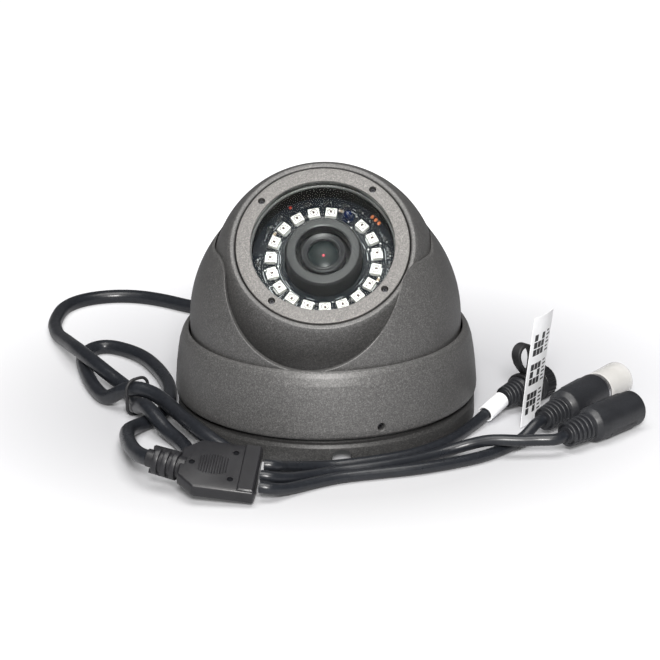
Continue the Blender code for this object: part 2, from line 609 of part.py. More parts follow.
def tails():
    service = [
        on_block(13.9, 4.6), on_block(17.0, 4.8), (-13.0, -61.0, 6.0), (-6.4, -55, 3.4), (0.6, -51.4, 2.0),
        (7.6, -49.6, 1.95), (17.7, -46.3, 1.95), (26.9, -41.8, 1.95), (35.6, -34.5, 1.95), (41.2, -27.2, 1.95),
        SERVICE_START - 15.5 * SLEEVE_AXIS, SERVICE_START - 8 * SLEEVE_AXIS, SERVICE_START - 1.1 * SLEEVE_AXIS,
    ]
    power = [
        on_block(13.5, 0), on_block(16.5, 0), (-11.6, -65.6, 4.2), (-4, -59, 2.3), (3.6, -54.8, 1.95),
        (11.2, -52.8, 1.95), (19.2, -50, 1.95), (25.8, -47.0, 1.95), (31.4, -44.1, 2.0), (37.2, -41.5, 2.6),
        (43.2, -40.4, 4.0), (48.6, -41.0, 5.5), (53.5, -41.8, 6.0), (59, -42.0, 5.8), (64.5, -41.6, 5.8),
        POWER_START - 5 * POWER_AXIS, POWER_START - 1.0 * POWER_AXIS,
    ]
    video = [
        on_block(13.9, -4.6), on_block(17.0, -4.7), (-11.8, -69.6, 2.6), (-4, -64.0, 1.95), (4, -59.9, 1.95),
        (13.2, -57.4, 1.95), (27.7, -53.8, 1.95), (39.5, -49.0, 1.95), (47, -45.0, 1.95), (52, -41.0, 1.95),
        (57, -35.8, 1.95), (61.2, -31.9, 3.2), VIDEO_START - 5 * VIDEO_AXIS, VIDEO_START - 0.9 * VIDEO_AXIS,
    ]
    for name, route in (("service_tail", service), ("video_tail", video), ("power_tail", power)):
        cable(name, route, TAIL, spacing=6.5)


def boot(name, start, axis, length, radius, bore, depth):
    """A moulded boot: a ribbed taper behind, a round body, and a bore in its front face."""
    outline = [
        (radius, length), (radius + 0.15, 14.0), (radius - 0.2, 11.0), (4.6, 9.2), (4.0, 4.0), (3.7, 0), (0, 0),
        (0, length - depth), (bore, length - depth), (bore, length),
    ]
    return turned(name, outline, BLACK_PLASTIC, None, along(start, axis), 24)


def power_plug():
    spot = along(POWER_START, POWER_AXIS)
    boot("power_boot", POWER_START, POWER_AXIS, 32.0, 5.7, 3.4, 11.0)
    disc("power_sleeve", 3.1, 21.3, 31.0, BRASS, hole=2.75, matrix=spot)
    outline = [(0, 29.5), (0.6, 29.4), (1.0, 28.8), (1.0, 21.3), (0, 21.3)]
    turned("power_pin", outline, BRASS, None, spot, 12)


def video_plug():
    spot = along(VIDEO_START, VIDEO_AXIS)
    boot("video_boot", VIDEO_START, VIDEO_AXIS, 29.6, 5.95, 4.7, 6.0)
    barrel = [
        (4.4, 41.1), (4.4, 31.2), (5.3, 31.2), (5.3, 29.9), (4.4, 29.9), (4.4, 23.9), (3.9, 23.9), (3.9, 41.1),
    ]
    shell = turned("video_shell", barrel, STEEL, None, spot, 24)
    for sign in (-1, 1):
        lug = spot @ along((0, 0, 38.1), (sign, 0, 0))
        joined(shell, disc(f"video_lug_{sign}", 0.9, 4.1, 4.95, STEEL, matrix=lug, hidden=True, sides=8))
    disc("video_insulator", 3.6, 23.9, 38.6, WHITE_NYLON, hole=1.2, matrix=spot)
    disc("video_contact", 0.9, 24.2, 37.6, BRASS, matrix=spot, sides=10)
    cap = [
        (0, 45.8), (3.6, 45.6), (5.2, 44.5), (5.75, 42.8), (5.75, 31.5), (5.25, 31.5), (5.25, 42.8), (4.6, 44.0),
        (0, 44.8),
    ]
    turned("video_cap", cap, CAP_VINYL, axis_at("video_cap_slide", VIDEO_START, spot.to_3x3()), sides=24)


def service_plug():
    spot = along(SERVICE_START, SERVICE_AXIS)
    outline = [
        (3.2, 18.5), (3.2, 12.7), (4.9, 12.7), (4.9, 10.5), (4.3, 10.5), (4.3, 7.5), (4.9, 7.5), (4.4, 5.5),
        (3.4, 0), (0, 0), (0, 14.5), (2.6, 14.5), (2.6, 18.5),
    ]
    turned("service_boot", outline, BLACK_PLASTIC, None, spot, 20)
    slide = axis_at("service_cap_slide", SERVICE_START, spot.to_3x3())
    cap = [
        (0, 20.9), (5.0, 20.9), (5.5, 20.3), (5.5, 16.3), (4.3, 16.1), (4.3, 13.3), (3.5, 13.3), (3.5, 19.1),
        (0, 19.1),
    ]
    turned("service_cap", cap, BLACK_PLASTIC, slide, sides=24)
    disc("service_seal", 2.3, 14.8, 18.8, RUBBER, parent=slide, sides=12)
    # The strap: a ring round the boot, a ring round the cap's neck, and an upright loop between them.
    strap = disc("cap_strap", 5.5, 8.1, 9.9, RUBBER, hole=4.6, matrix=spot, sides=24)
    ring = disc("cap_ring", 5.5, 13.8, 15.7, RUBBER, hole=4.6, matrix=spot, hidden=True, sides=24)
    up = Vector((0, 0, 1))
    plane = Matrix((SERVICE_AXIS, up, SERVICE_AXIS.cross(up))).transposed().to_4x4()
    stand = Matrix.Translation(SERVICE_START + 11.9 * SERVICE_AXIS) @ plane
    outside = [(x - STRAP_LEAN * (y - 5.15), y) for x, y in arch(4.2, 15.8, 3.8, 5.15)]
    inside = [(x - STRAP_LEAN * (y - 5.15), y) for x, y in arch(3.0, 14.6, 2.7, 6.2)]
    band = extruded("strap_loop", outside, -1.6, 1.6, RUBBER, None, stand, True)
    cut(band, extruded("strap_hollow", inside, -2.6, 2.6, RUBBER, None, stand, True))
    joined(strap, ring, band)


def label():
    """The paper sleeve round the service tail, and the flag that stands beside it."""
    spot = along(SERVICE_START - 1.5 * SLEEVE_AXIS, -SLEEVE_AXIS)
    disc("label_sleeve", 2.7, 0, 9.5, PAPER, hole=2.2, matrix=spot, sides=16)
    low = Vector((60.9, -18.2, 0.4))
    across = Vector((math.cos(math.radians(64)), math.sin(math.radians(64)), 0))
    lean = Vector((0.08, 0.0, 1.0)).normalized()
    bm = bmesh.new()
    rows = []
    for t in (0, 0.25, 0.5, 0.75, 1.0):
        edge = low + lean * (36.5 * t) + Vector((t * t, 0, 0))
        rows.append([bm.verts.new(edge), bm.verts.new(edge + across * 10.9)])
    for first, second in zip(rows, rows[1:]):
        bm.faces.new((first[0], first[1], second[1], second[0]))
    flag = place("label_flag", bm, PAPER)
    modifier = flag.modifiers.new("paper", "SOLIDIFY")
    modifier.thickness = 0.4 * MM
    modifier.offset = 0


def camera():
    mounting_base()
    pan_bearing()
    clamp_collar()
    base_lead()
    turret_shell()
    tilt_yoke()
    roll = Matrix.Rotation(math.radians(LENS_ROLL), 3, "Z")
    ball = axis_at("lens_axis", (0, 0, BALL_CENTRE), lens_frame() @ roll)
    face(ball, ball_shell(ball))
    infrared_board(ball)
    lens_module(ball)


def lead():
    splitter_block()
    folded_lead()
    tails()
    power_plug()
    video_plug()
    service_plug()
    label()


camera()
lead()
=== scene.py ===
"""The turret dome camera's looks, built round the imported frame. Numbers are in millimetres.
Heights on the eye's pieces run along the lens axis from the eye's centre."""

import json
import math

import bmesh
import bpy
from mathutils import Matrix, Vector

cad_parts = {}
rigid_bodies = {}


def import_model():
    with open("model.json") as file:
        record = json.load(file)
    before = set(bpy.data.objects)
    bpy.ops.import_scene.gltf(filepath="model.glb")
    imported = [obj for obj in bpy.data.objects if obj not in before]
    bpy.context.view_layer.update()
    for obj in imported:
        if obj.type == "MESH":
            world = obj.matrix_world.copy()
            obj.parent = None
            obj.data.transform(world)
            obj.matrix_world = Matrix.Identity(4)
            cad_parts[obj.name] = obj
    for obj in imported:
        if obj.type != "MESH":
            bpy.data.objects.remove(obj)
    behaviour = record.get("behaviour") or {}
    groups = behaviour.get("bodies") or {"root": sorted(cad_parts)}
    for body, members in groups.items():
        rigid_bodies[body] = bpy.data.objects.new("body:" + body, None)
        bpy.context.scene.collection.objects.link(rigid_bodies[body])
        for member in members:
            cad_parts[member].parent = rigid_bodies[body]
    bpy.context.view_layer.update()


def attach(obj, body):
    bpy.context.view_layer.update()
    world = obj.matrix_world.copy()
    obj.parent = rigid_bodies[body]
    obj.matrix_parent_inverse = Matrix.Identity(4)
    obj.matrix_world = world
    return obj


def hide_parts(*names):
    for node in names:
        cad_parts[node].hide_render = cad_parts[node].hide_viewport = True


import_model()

MM = 0.001
FINE = 192
CREASE_ANGLE = 35

BALL_CENTRE = 45.6
BALL_RADIUS = 35.65
LENS_AZIMUTH = -2.4
LENS_ELEVATION = 45.0
LENS_ROLL = 6.84
SHELL_RADIUS = 42.85
SHELL_INNER = 40.75
SHELL_CENTRE = 32.2
SHELL_PAN = -8.3
WINDOW_RADIUS = 27.5
WINDOW_CENTRE = 56.4
SHOULDER = 56.3
BALL_INNER = 33.0
BALL_LIP = 22.9
BOARD_TOP = 9.6
BOARD_RADIUS = 22.5
LED_PITCH = 16.6
LED_PLACES = 19
LED_FIRST = 13.8
PHOTOCELL_PLACE = 1
LAMP_HEIGHT = 1.7
EDGE_CHIPS = (52, 66, 82, 100, 128, 142, 176, 200, 348, 2, 16)
FACE_SCREW_CIRCLE = 24.5
MOUNT_HOLE_CIRCLE = 37.2
RETAINER_SCREW_CIRCLE = 26.8
GRUB_SCREW_HEIGHT = 11.75
RIM_BACK = 59.5
RIM_WALL = 2.2
RIM_EDGE = 0.32
FLANGE_RADIUS = 30.0
FLANGE_LOW = 8.2
FLANGE_HIGH = 10.2
SHELL_FOOT = 8.3
LEAD_DIAMETER = 4.8
TAIL_DIAMETER = 3.6
FLAG_FOOT = Vector((60.9, -18.2, 0.4))
FLAG_HEADING = 56.0
FLAG_WIDTH = 11.7
FLAG_HEIGHT = 36.5
TIE_CENTRE = Vector((-60.3, -2.2, 6.4))
TIE_ACROSS = Vector((0.75, 0.66, 0))


# ---------------------------------------------------------------- materials


class Nodes:
    """A short way to build a node tree."""

    def __init__(self, name):
        self.material = bpy.data.materials.new(name)
        self.material.use_nodes = True
        self.tree = self.material.node_tree
        self.shader = self.tree.nodes["Principled BSDF"]
        self.output = self.tree.nodes["Material Output"]
        self.where = self.tree.nodes.new("ShaderNodeTexCoord").outputs["Object"]

    def add(self, kind, inputs=None, **settings):
        node = self.tree.nodes.new("ShaderNode" + kind)
        for key, value in settings.items():
            setattr(node, key, value)
        for key, value in (inputs or {}).items():
            self.set(node, key, value)
        return node

    def set(self, node, key, value):
        if isinstance(value, bpy.types.NodeSocket):
            self.tree.links.new(value, node.inputs[key])
        else:
            node.inputs[key].default_value = value

    def noise(self, scale, detail=3.0, rough=0.5, where=None):
        inputs = {"Vector": where or self.where, "Scale": scale, "Detail": detail, "Roughness": rough}
        return self.add("TexNoise", inputs).outputs["Fac"]

    def ramp(self, factor, stops):
        node = self.add("ValToRGB", {"Fac": factor})
        elements = node.color_ramp.elements
        while len(elements) < len(stops):
            elements.new(0.5)
        for element, (place, colour) in zip(elements, stops):
            element.position = place
            element.color = (*colour, 1.0) if len(colour) == 3 else colour
        return node.outputs["Color"]

    def level(self, factor, low, high, start=0.0, end=1.0):
        inputs = {"Value": factor, "From Min": start, "From Max": end, "To Min": low, "To Max": high}
        return self.add("MapRange", inputs).outputs["Result"]

    def combine(self, operation, first, second):
        return self.add("Math", {0: first, 1: second}, operation=operation).outputs[0]

    def bump(self, height, distance, strength=1.0, normal=None):
        inputs = {"Height": height, "Distance": distance, "Strength": strength}
        if normal is not None:
            inputs["Normal"] = normal
        return self.add("Bump", inputs).outputs["Normal"]

    def finish(self, **values):
        for key, value in values.items():
            self.set(self.shader, key.replace("_", " "), value)
        return self.material


def paint_material(name, tint=1.0, warm=0.0):
    """Graphite paint with metal flake: tint makes it lighter, and warm makes it redder. The base's darker
    copy paints shade, and the face ring's lighter, warmer copy paints light.
    """
    n = Nodes(name)
    flake = n.add("TexVoronoi", {"Vector": n.where, "Scale": 4200.0})
    bright = n.add("SeparateColor", {"Color": flake.outputs["Color"]}).outputs["Red"]
    mixed = n.combine("MULTIPLY", bright, n.noise(1700.0, 2.0))
    dark = [0.070 * tint * (1 + warm), 0.070 * tint, 0.070 * tint * (1 - warm)]
    mid = [0.105 * tint * (1 + warm), 0.104 * tint, 0.103 * tint * (1 - warm)]
    light = [0.21 * tint * (1 + warm), 0.208 * tint, 0.206 * tint * (1 - warm)]
    colour = n.ramp(mixed, [(0.0, dark), (0.3, mid), (0.9, light)])
    rough = n.combine("ADD", n.level(n.noise(60.0, 4.0), 0.42, 0.54), n.level(bright, -0.08, 0.08))
    grain = n.bump(flake.outputs["Distance"], 0.00004, 0.35)
    return n.finish(Base_Color=colour, Metallic=0.45, Roughness=rough, Normal=grain, Specular_IOR_Level=0.25)


def moulded_material(name, colour, rough=0.45, grain=0.00002, scale=2600.0, **more):
    """Moulded plastic or rubber with a fine spark-eroded grain."""
    n = Nodes(name)
    fine = n.noise(scale, 3.0, 0.6)
    broad = n.noise(130.0, 4.0)
    shade = n.ramp(broad, [(0.3, [c * 0.8 for c in colour]), (0.7, [c * 1.25 for c in colour])])
    low = rough - 0.08
    roughness = n.level(fine, low + 0.14, low, 0.35, 0.65)
    return n.finish(Base_Color=shade, Roughness=roughness, Normal=n.bump(fine, grain, 0.6), **more)


def jacket_material():
    """The lead's PVC jacket, satin with faint drawing marks and dust."""
    n = Nodes("cable_jacket_fine")
    broad = n.noise(90.0, 5.0, 0.6)
    fine = n.noise(1900.0, 3.0)
    dust = n.noise(700.0, 6.0, 0.75)
    stops = [(0.35, (0.011, 0.012, 0.015)), (0.62, (0.016, 0.018, 0.022)), (0.8, (0.032, 0.035, 0.042))]
    colour = n.ramp(dust, stops)
    rough = n.level(broad, 0.24, 0.38, 0.3, 0.7)
    bump = n.bump(fine, 0.00003, 0.4, n.bump(broad, 0.0004, 0.4))
    return n.finish(Base_Color=colour, Roughness=rough, Normal=bump, Specular_IOR_Level=0.45)


def metal_material(name, colour, rough):
    """Bare or plated metal with fine scratches."""
    n = Nodes(name)
    scratch = n.noise(900.0, 4.0, 0.6)
    shade = n.ramp(scratch, [(0.3, [c * 0.8 for c in colour]), (0.7, colour)])
    roughness = n.level(scratch, rough - 0.06, rough + 0.1, 0.3, 0.7)
    return n.finish(Base_Color=shade, Metallic=1.0, Roughness=roughness, Normal=n.bump(scratch, 0.00001, 0.4))


def clear_material(name, tint, fresnel):
    """Thin clear glass: it lets straight light through and reflects by angle."""
    n = Nodes(name)
    n.finish(Base_Color=(*tint, 1.0), Roughness=n.level(n.noise(45.0, 3.0), 0.01, 0.05), Metallic=1.0)
    clear = n.add("BsdfTransparent", {"Color": (*tint, 1.0)}).outputs[0]
    factor = n.add("Fresnel", {"IOR": fresnel}).outputs[0]
    mix = n.add("MixShader", {0: factor, 1: clear, 2: n.shader.outputs[0]})
    n.tree.links.new(mix.outputs[0], n.output.inputs["Surface"])
    return n.material


def flat_finish(name, colour, rough, metallic=0.0, variation=0.12, scale=500.0, **more):
    """A plain finish for small pieces, with a little unevenness."""
    n = Nodes(name)
    fac = n.noise(scale, 4.0)
    dark = [c * (1 - variation) for c in colour]
    light = [min(1, c * (1 + variation)) for c in colour]
    shade = n.ramp(fac, [(0.3, dark), (0.7, light)])
    roughness = n.level(fac, rough * 0.85, min(1.0, rough * 1.2), 0.3, 0.7)
    grain = n.bump(fac, 0.00001, 0.3)
    return n.finish(Base_Color=shade, Roughness=roughness, Metallic=metallic, Normal=grain, **more)


PAINT = paint_material("graphite_paint_fine", 1.15)
# The base's copy is darker: painted shade on the base, which sits low under the collar.
SHADED_BASE_PAINT = paint_material("base_paint_painted_shade", 0.6)
# The face ring's copy is lighter and warmer: painted light on the ring, which faces the lights.
LIT_RING_PAINT = paint_material("face_ring_paint_painted_light", 1.45, 0.02)
JACKET = jacket_material()
BLACK = moulded_material("black_plastic_fine", (0.012, 0.012, 0.014), 0.42)
BOOT = moulded_material("boot_plastic", (0.019, 0.020, 0.023), 0.42, 0.00003, 1500.0)
RUBBER = moulded_material("black_rubber_fine", (0.016, 0.016, 0.018), 0.6)
# A near-black, barely reflecting finish: the cup's own plastic, and painted shade inside the eye, on the
# shield's walls and in the splitter's dimples.
CUP_AND_SHADE_BLACK = moulded_material("cup_plastic_and_painted_shade", (0.006, 0.0065, 0.008), 0.5, Specular_IOR_Level=0.08)
SEAL = moulded_material("seal_silicone", (0.13, 0.13, 0.13), 0.4)
STEEL = metal_material("steel_fine", (0.6, 0.6, 0.62), 0.28)
DARK_STEEL = metal_material("dark_screw_steel", (0.06, 0.06, 0.065), 0.4)
BRASS = metal_material("plated_brass_fine", (0.82, 0.74, 0.55), 0.22)
GLASS = clear_material("front_glass_clear", (0.97, 0.985, 0.98), 1.1)
VINYL = flat_finish("vinyl_milky", (0.78, 0.77, 0.75), 0.2, variation=0.02, Alpha=0.5)
CIRCUIT = flat_finish("solder_mask", (0.005, 0.007, 0.011), 0.35, scale=900.0, Specular_IOR_Level=0.2)
SILK = flat_finish("silkscreen", (0.55, 0.57, 0.6), 0.6)
PAD = flat_finish("copper_pad", (0.75, 0.2, 0.06), 0.4, 0.3)
LAMP_BODY = flat_finish("lamp_ceramic", (0.86, 0.84, 0.80), 0.45, variation=0.05)
LAMP_CLEAR = flat_finish("lamp_resin", (0.22, 0.21, 0.21), 0.3, variation=0.1)
LAMP_DIE = flat_finish("lamp_die", (0.05, 0.02, 0.02), 0.35)
PART_DARK = flat_finish("component_dark", (0.015, 0.015, 0.016), 0.35)
PART_TAN = flat_finish("component_tan", (0.32, 0.25, 0.18), 0.5)
SOLDER = metal_material("solder", (0.7, 0.7, 0.7), 0.3)
PHOTOCELL = flat_finish("photocell_resin", (0.008, 0.014, 0.045), 0.15, variation=0.3, Coat_Weight=0.3)
LENS_COAT = flat_finish("lens_coating", (0.007, 0.011, 0.012), 0.3, variation=0.3, Specular_IOR_Level=0.15)
# A red disc that glows on the lens: a painted glint of the sensor, not a lamp.
RED_GLINT = flat_finish(
    "painted_red_glint", (0.7, 0.04, 0.06), 0.3, Emission_Color=(1, 0.05, 0.1, 1), Emission_Strength=0.5,
)
RED_MARK = flat_finish("red_mark", (0.55, 0.05, 0.03), 0.5)
NYLON = flat_finish("nylon_fine", (0.8, 0.8, 0.77), 0.45, variation=0.05)
PAPER = flat_finish("label_film", (0.86, 0.87, 0.89), 0.5, variation=0.03)
INK = flat_finish("label_ink", (0.02, 0.02, 0.022), 0.5)


# ---------------------------------------------------------------- mesh helpers


def turn_z(degrees):
    return Matrix.Rotation(math.radians(degrees), 4, "Z")


def shift(x, y, z=0.0):
    return Matrix.Translation((x, y, z))


def new_object(name, data):
    obj = bpy.data.objects.new(name, data)
    bpy.context.scene.collection.objects.link(obj)
    return obj


def mesh_from(name, bm):
    """Turns a bmesh in millimetres into a mesh in metres."""
    bmesh.ops.recalc_face_normals(bm, faces=bm.faces)
    mesh = bpy.data.meshes.new(name)
    bm.to_mesh(mesh)
    bm.free()
    mesh.transform(Matrix.Scale(MM, 4))
    return mesh


def smooth_under(mesh, degrees):
    """Shades a mesh smooth, apart from edges that turn by more than an angle."""
    mesh.shade_smooth()
    mesh.set_sharp_from_angle(angle=math.radians(degrees))


def bridge(bm, rings, closed=False):
    """Joins each ring of points to the next by faces, and the last one to the first if closed."""
    for first, second in zip(rings, rings[1:] + rings[:1] if closed else rings[1:]):
        for i in range(len(first)):
            j = (i + 1) % len(first)
            bm.faces.new((first[i], first[j], second[j], second[i]))


def join_model(piece, body, replaces):
    """Says what a piece rides on and which nodes it stands for."""
    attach(piece, body)
    if replaces:
        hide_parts(*replaces)


def place(name, bm, material, body, slot, replaces=(), matrix=None, smooth=CREASE_ANGLE):
    """Makes a piece from a bmesh in millimetres. A piece of the studio has no body."""
    if matrix is not None:
        bmesh.ops.transform(bm, matrix=matrix, verts=bm.verts)
    bmesh.ops.remove_doubles(bm, verts=bm.verts, dist=1e-5)
    mesh = mesh_from(name, bm)
    smooth_under(mesh, smooth)
    mesh.materials.append(material)
    piece = new_object(name, mesh)
    if body:
        join_model(piece, body, replaces)
    return piece


def rounded(points, steps=4):
    """Fillets the corners of a closed outline, given as (x, y) or (x, y, radius) points."""
    out = []
    count = len(points)
    for i, point in enumerate(points):
        here = Vector(point[:2])
        radius = point[2] if len(point) > 2 else 0.0
        before = Vector(points[i - 1][:2]) - here
        after = Vector(points[(i + 1) % count][:2]) - here
        if radius <= 0 or before.length < 1e-6 or after.length < 1e-6:
            out.append(tuple(here))
            continue
        half = before.angle(after) / 2
        reach = min(radius / max(math.tan(half), 1e-4), before.length * 0.49, after.length * 0.49)
        radius = reach * math.tan(half)
        middle = here + (before.normalized() + after.normalized()).normalized() * (radius / math.sin(half))
        first = here + before.normalized() * reach - middle
        last = here + after.normalized() * reach - middle
        sweep = first.angle_signed(last)
        for k in range(steps + 1):
            turn = Matrix.Rotation(-sweep * k / steps, 2)
            out.append(tuple(middle + turn @ first))
    return out


def arc(centre, radius, start, end, steps):
    """Points on an arc between two angles in degrees."""
    angles = [math.radians(start + (end - start) * i / steps) for i in range(steps + 1)]
    return [(centre[0] + radius * math.cos(a), centre[1] + radius * math.sin(a)) for a in angles]


def sphere_side(radius, centre, top, bottom, steps):
    """(radius, height) points on a sphere between two heights."""
    start = math.degrees(math.asin((top - centre) / radius))
    end = math.degrees(math.asin((bottom - centre) / radius))
    return arc((0, centre), radius, start, end, steps)


def spin_into(bm, outline, sides=FINE, matrix=None):
    """Adds a closed (radius, height) outline turned about Z."""
    rings = []
    for radius, height in outline:
        if radius < 1e-6:
            rings.append([bm.verts.new((0, 0, height))])
        else:
            angles = [2 * math.pi * i / sides for i in range(sides)]
            rings.append([bm.verts.new((radius * math.cos(a), radius * math.sin(a), height)) for a in angles])
    for first, second in zip(rings, rings[1:] + rings[:1]):
        if len(first) == 1 and len(second) == 1:
            continue
        for i in range(sides):
            j = (i + 1) % sides
            near = [first[i % len(first)], first[j % len(first)]]
            far = [second[j % len(second)], second[i % len(second)]]
            unique = list(dict.fromkeys(near + far))
            if len(unique) > 2:
                bm.faces.new(unique)
    if matrix is not None:
        bmesh.ops.transform(bm, matrix=matrix, verts=[v for ring in rings for v in ring])


def turned(name, outline, material, body, slot, replaces=(), matrix=None, sides=FINE, smooth=CREASE_ANGLE):
    """Makes a piece from one outline turned about Z."""
    bm = bmesh.new()
    spin_into(bm, outline, sides)
    return place(name, bm, material, body, slot, replaces, matrix, smooth)


def prism_into(bm, outline, low, high, matrix=None):
    """Adds a prism of an (x, y) outline."""
    bottom = [bm.verts.new((x, y, low)) for x, y in outline]
    top = [bm.verts.new((x, y, high)) for x, y in outline]
    bm.faces.new(bottom[::-1])
    bm.faces.new(top)
    bridge(bm, [bottom, top])
    if matrix is not None:
        bmesh.ops.transform(bm, matrix=matrix, verts=bottom + top)


def slab_into(bm, size, radius, edge=0.0, matrix=None):
    """Adds a flat block with round corners, and a chamfer round its top if edge is given."""
    x, y, z = size[0] / 2, size[1] / 2, size[2]
    outline = rounded([(x, y, radius), (-x, y, radius), (-x, -y, radius), (x, -y, radius)], 3)
    rings = [[bm.verts.new((a, b, 0)) for a, b in outline]]
    rings.append([bm.verts.new((a, b, z - edge)) for a, b in outline])
    if edge:
        shrink = ((x - edge) / x, (y - edge) / y)
        rings.append([bm.verts.new((a * shrink[0], b * shrink[1], z)) for a, b in outline])
    bm.faces.new(rings[0][::-1])
    bm.faces.new(rings[-1])
    bridge(bm, rings)
    if matrix is not None:
        bmesh.ops.transform(bm, matrix=matrix, verts=[v for ring in rings for v in ring])


def carve(piece, *cutters, operation="DIFFERENCE"):
    """Cuts bmeshes in millimetres out of a piece, or adds them to it, and applies the result."""
    for cutter_bm in cutters:
        cutter = new_object("cutter", mesh_from("cutter", cutter_bm))
        modifier = piece.modifiers.new("cut", "BOOLEAN")
        modifier.operation = operation
        modifier.object = cutter
        bpy.context.view_layer.update()
        graph = bpy.context.evaluated_depsgraph_get()
        result = bpy.data.meshes.new_from_object(piece.evaluated_get(graph))
        piece.modifiers.clear()
        piece.data = result
        bpy.data.objects.remove(cutter)
        smooth_under(result, CREASE_ANGLE)
    return piece


def line_with(piece, material, chosen):
    """Gives another material to the faces whose middles, in the eye's axes, are chosen."""
    piece.data.materials.append(material)
    inverse = LENS.inverted()
    for face in piece.data.polygons:
        if chosen(inverse @ (face.center / MM)):
            face.material_index = 1


def along(start, direction):
    """A place whose Z axis points in a direction."""
    turn = Vector((0, 0, 1)).rotation_difference(Vector(direction))
    return Matrix.Translation(Vector(start)) @ turn.to_matrix().to_4x4()


def heading(degrees):
    """A level direction, by its angle from +X."""
    angle = math.radians(degrees)
    return Vector((math.cos(angle), math.sin(angle), 0))


def front_azimuth(degrees):
    """A level direction, by its angle from the camera's front."""
    angle = math.radians(degrees)
    return Vector((math.sin(angle), -math.cos(angle), 0))


def upright(degrees):
    """Axes for a hole through the base's side: X across, Y up and Z outwards."""
    out = front_azimuth(degrees)
    across = Vector((0, 0, 1)).cross(out)
    return Matrix((across, (0, 0, 1), out)).transposed().to_4x4()


def arch(half_width, top, corner, bottom, steps=10):
    """The outline of an opening with round upper corners."""
    right = arc((half_width - corner, top - corner), corner, 0, 90, steps)
    left = arc((corner - half_width, top - corner), corner, 90, 180, steps)
    return [(-half_width, bottom), (half_width, bottom), *right, *left]


def at_angles(radius, angles):
    """Places on a circle about Z, each turned with its angle."""
    return [turn_z(a) @ shift(radius, 0) for a in angles]


# ---------------------------------------------------------------- camera, floor and light


def camera():
    """A long lens that looks slightly down on the object."""
    distance, elevation, roll = 800.0, math.radians(19.66), math.radians(-0.6)
    target = Vector((1.38, 0, 27.23))
    forward = Vector((0, math.cos(elevation), -math.sin(elevation)))
    right = Vector((1, 0, 0))
    up = right.cross(forward)
    right, up = right * math.cos(roll) + up * math.sin(roll), up * math.cos(roll) - right * math.sin(roll)
    data = bpy.data.cameras.new("camera")
    data.sensor_width = 36.0
    data.lens = 137.5036
    data.clip_start = 0.05
    data.clip_end = 20
    obj = new_object("camera", data)
    turn = Matrix((right, up, -forward)).transposed().to_4x4()
    obj.matrix_world = Matrix.Translation((target - forward * distance) * MM) @ turn
    bpy.context.scene.camera = obj


def area_light(name, place_at, target, size, power, colour):
    """A rectangular light in watts, placed and aimed in millimetres."""
    data = bpy.data.lights.new(name, "AREA")
    data.shape = "RECTANGLE"
    data.size, data.size_y = size[0] * MM, size[1] * MM
    data.energy = power
    data.color = colour
    obj = new_object(name, data)
    obj.location = Vector(place_at) * MM
    obj.rotation_euler = (Vector(target) - Vector(place_at)).to_track_quat("-Z", "Y").to_euler()


def studio():
    """A white sweep under and behind the object, a faint surround and two soft lights.

    The sweep glows with distance, for the camera's rays only, so it is white but doesn't light the object.
    Its glow is weakest round the object, so the sweep is darker there: a painted shade round the object's
    foot.
    """
    n = Nodes("studio_white")
    shade = n.ramp(n.noise(3.0, 2.0), [(0.3, (0.46, 0.465, 0.49)), (0.7, (0.485, 0.49, 0.505))])
    away = n.add("VectorMath", {0: n.where}, operation="LENGTH").outputs["Value"]
    seen = n.add("LightPath").outputs["Is Camera Ray"]
    # Little glow near the object: painted shade round its foot.
    glow = n.combine("MULTIPLY", n.level(away, 0.05, 0.8, 0.07, 0.2), seen)
    white = n.finish(
        Base_Color=shade, Roughness=0.75, Specular_IOR_Level=0.2, Emission_Color=(1, 1, 1, 1),
        Emission_Strength=glow,
    )
    bm = bmesh.new()
    half_width = 3000
    profile = [(-2500, 0), (1200, 0)] + arc((1200, 900), 900, -90, 0, 12) + [(2100, 2600)]
    left, right = ([bm.verts.new((x, y, z)) for y, z in profile] for x in (-half_width, half_width))
    for i in range(len(profile) - 1):
        bm.faces.new((left[i], right[i], right[i + 1], left[i + 1]))
    floor = place("studio_floor", bm, white, None, None)

    world = bpy.data.worlds.new("surround")
    world.use_nodes = True
    background = world.node_tree.nodes["Background"]
    background.inputs["Color"].default_value = (0.93, 0.96, 1.0, 1)
    background.inputs["Strength"].default_value = 0.04
    bpy.context.scene.world = world

    area_light("top_light", (0, -250, 1000), (0, 0, 0), (800, 700), 9.5, (1.0, 0.985, 0.96))
    area_light("front_light", (30, -950, 600), (0, 0, 30), (260, 200), 16.5, (1.0, 0.98, 0.96))
    bpy.context.scene.view_settings.view_transform = "Standard"


# ---------------------------------------------------------------- the lead's routes

BLOCK_PLACE = (
    shift(-32.8, -67.0, 7.0)
    @ turn_z(-6)
    @ Matrix.Rotation(math.radians(6), 4, "Y")
    @ Matrix.Rotation(math.radians(22), 4, "X")
)
RELIEF_PLACE = BLOCK_PLACE @ shift(-9, 0) @ turn_z(-12)
TAIL_LEVEL = 0.9


def on_block(x, y, z=TAIL_LEVEL):
    """A point given from the middle of the splitter block."""
    return tuple(BLOCK_PLACE @ Vector((x, y, z)))


SERVICE_START = Vector((56.5, -5.0, 5.6))
SERVICE_AXIS = heading(47)
SLEEVE_AXIS = Vector((0.585, 0.786, 0.2)).normalized()
POWER_START = Vector((73.3, -38.2, 5.9))
POWER_AXIS = heading(44.5)
VIDEO_START = Vector((67.6, -25.4, 6.1))
VIDEO_AXIS = heading(52.5)
STRAP_LEAN = 0.3

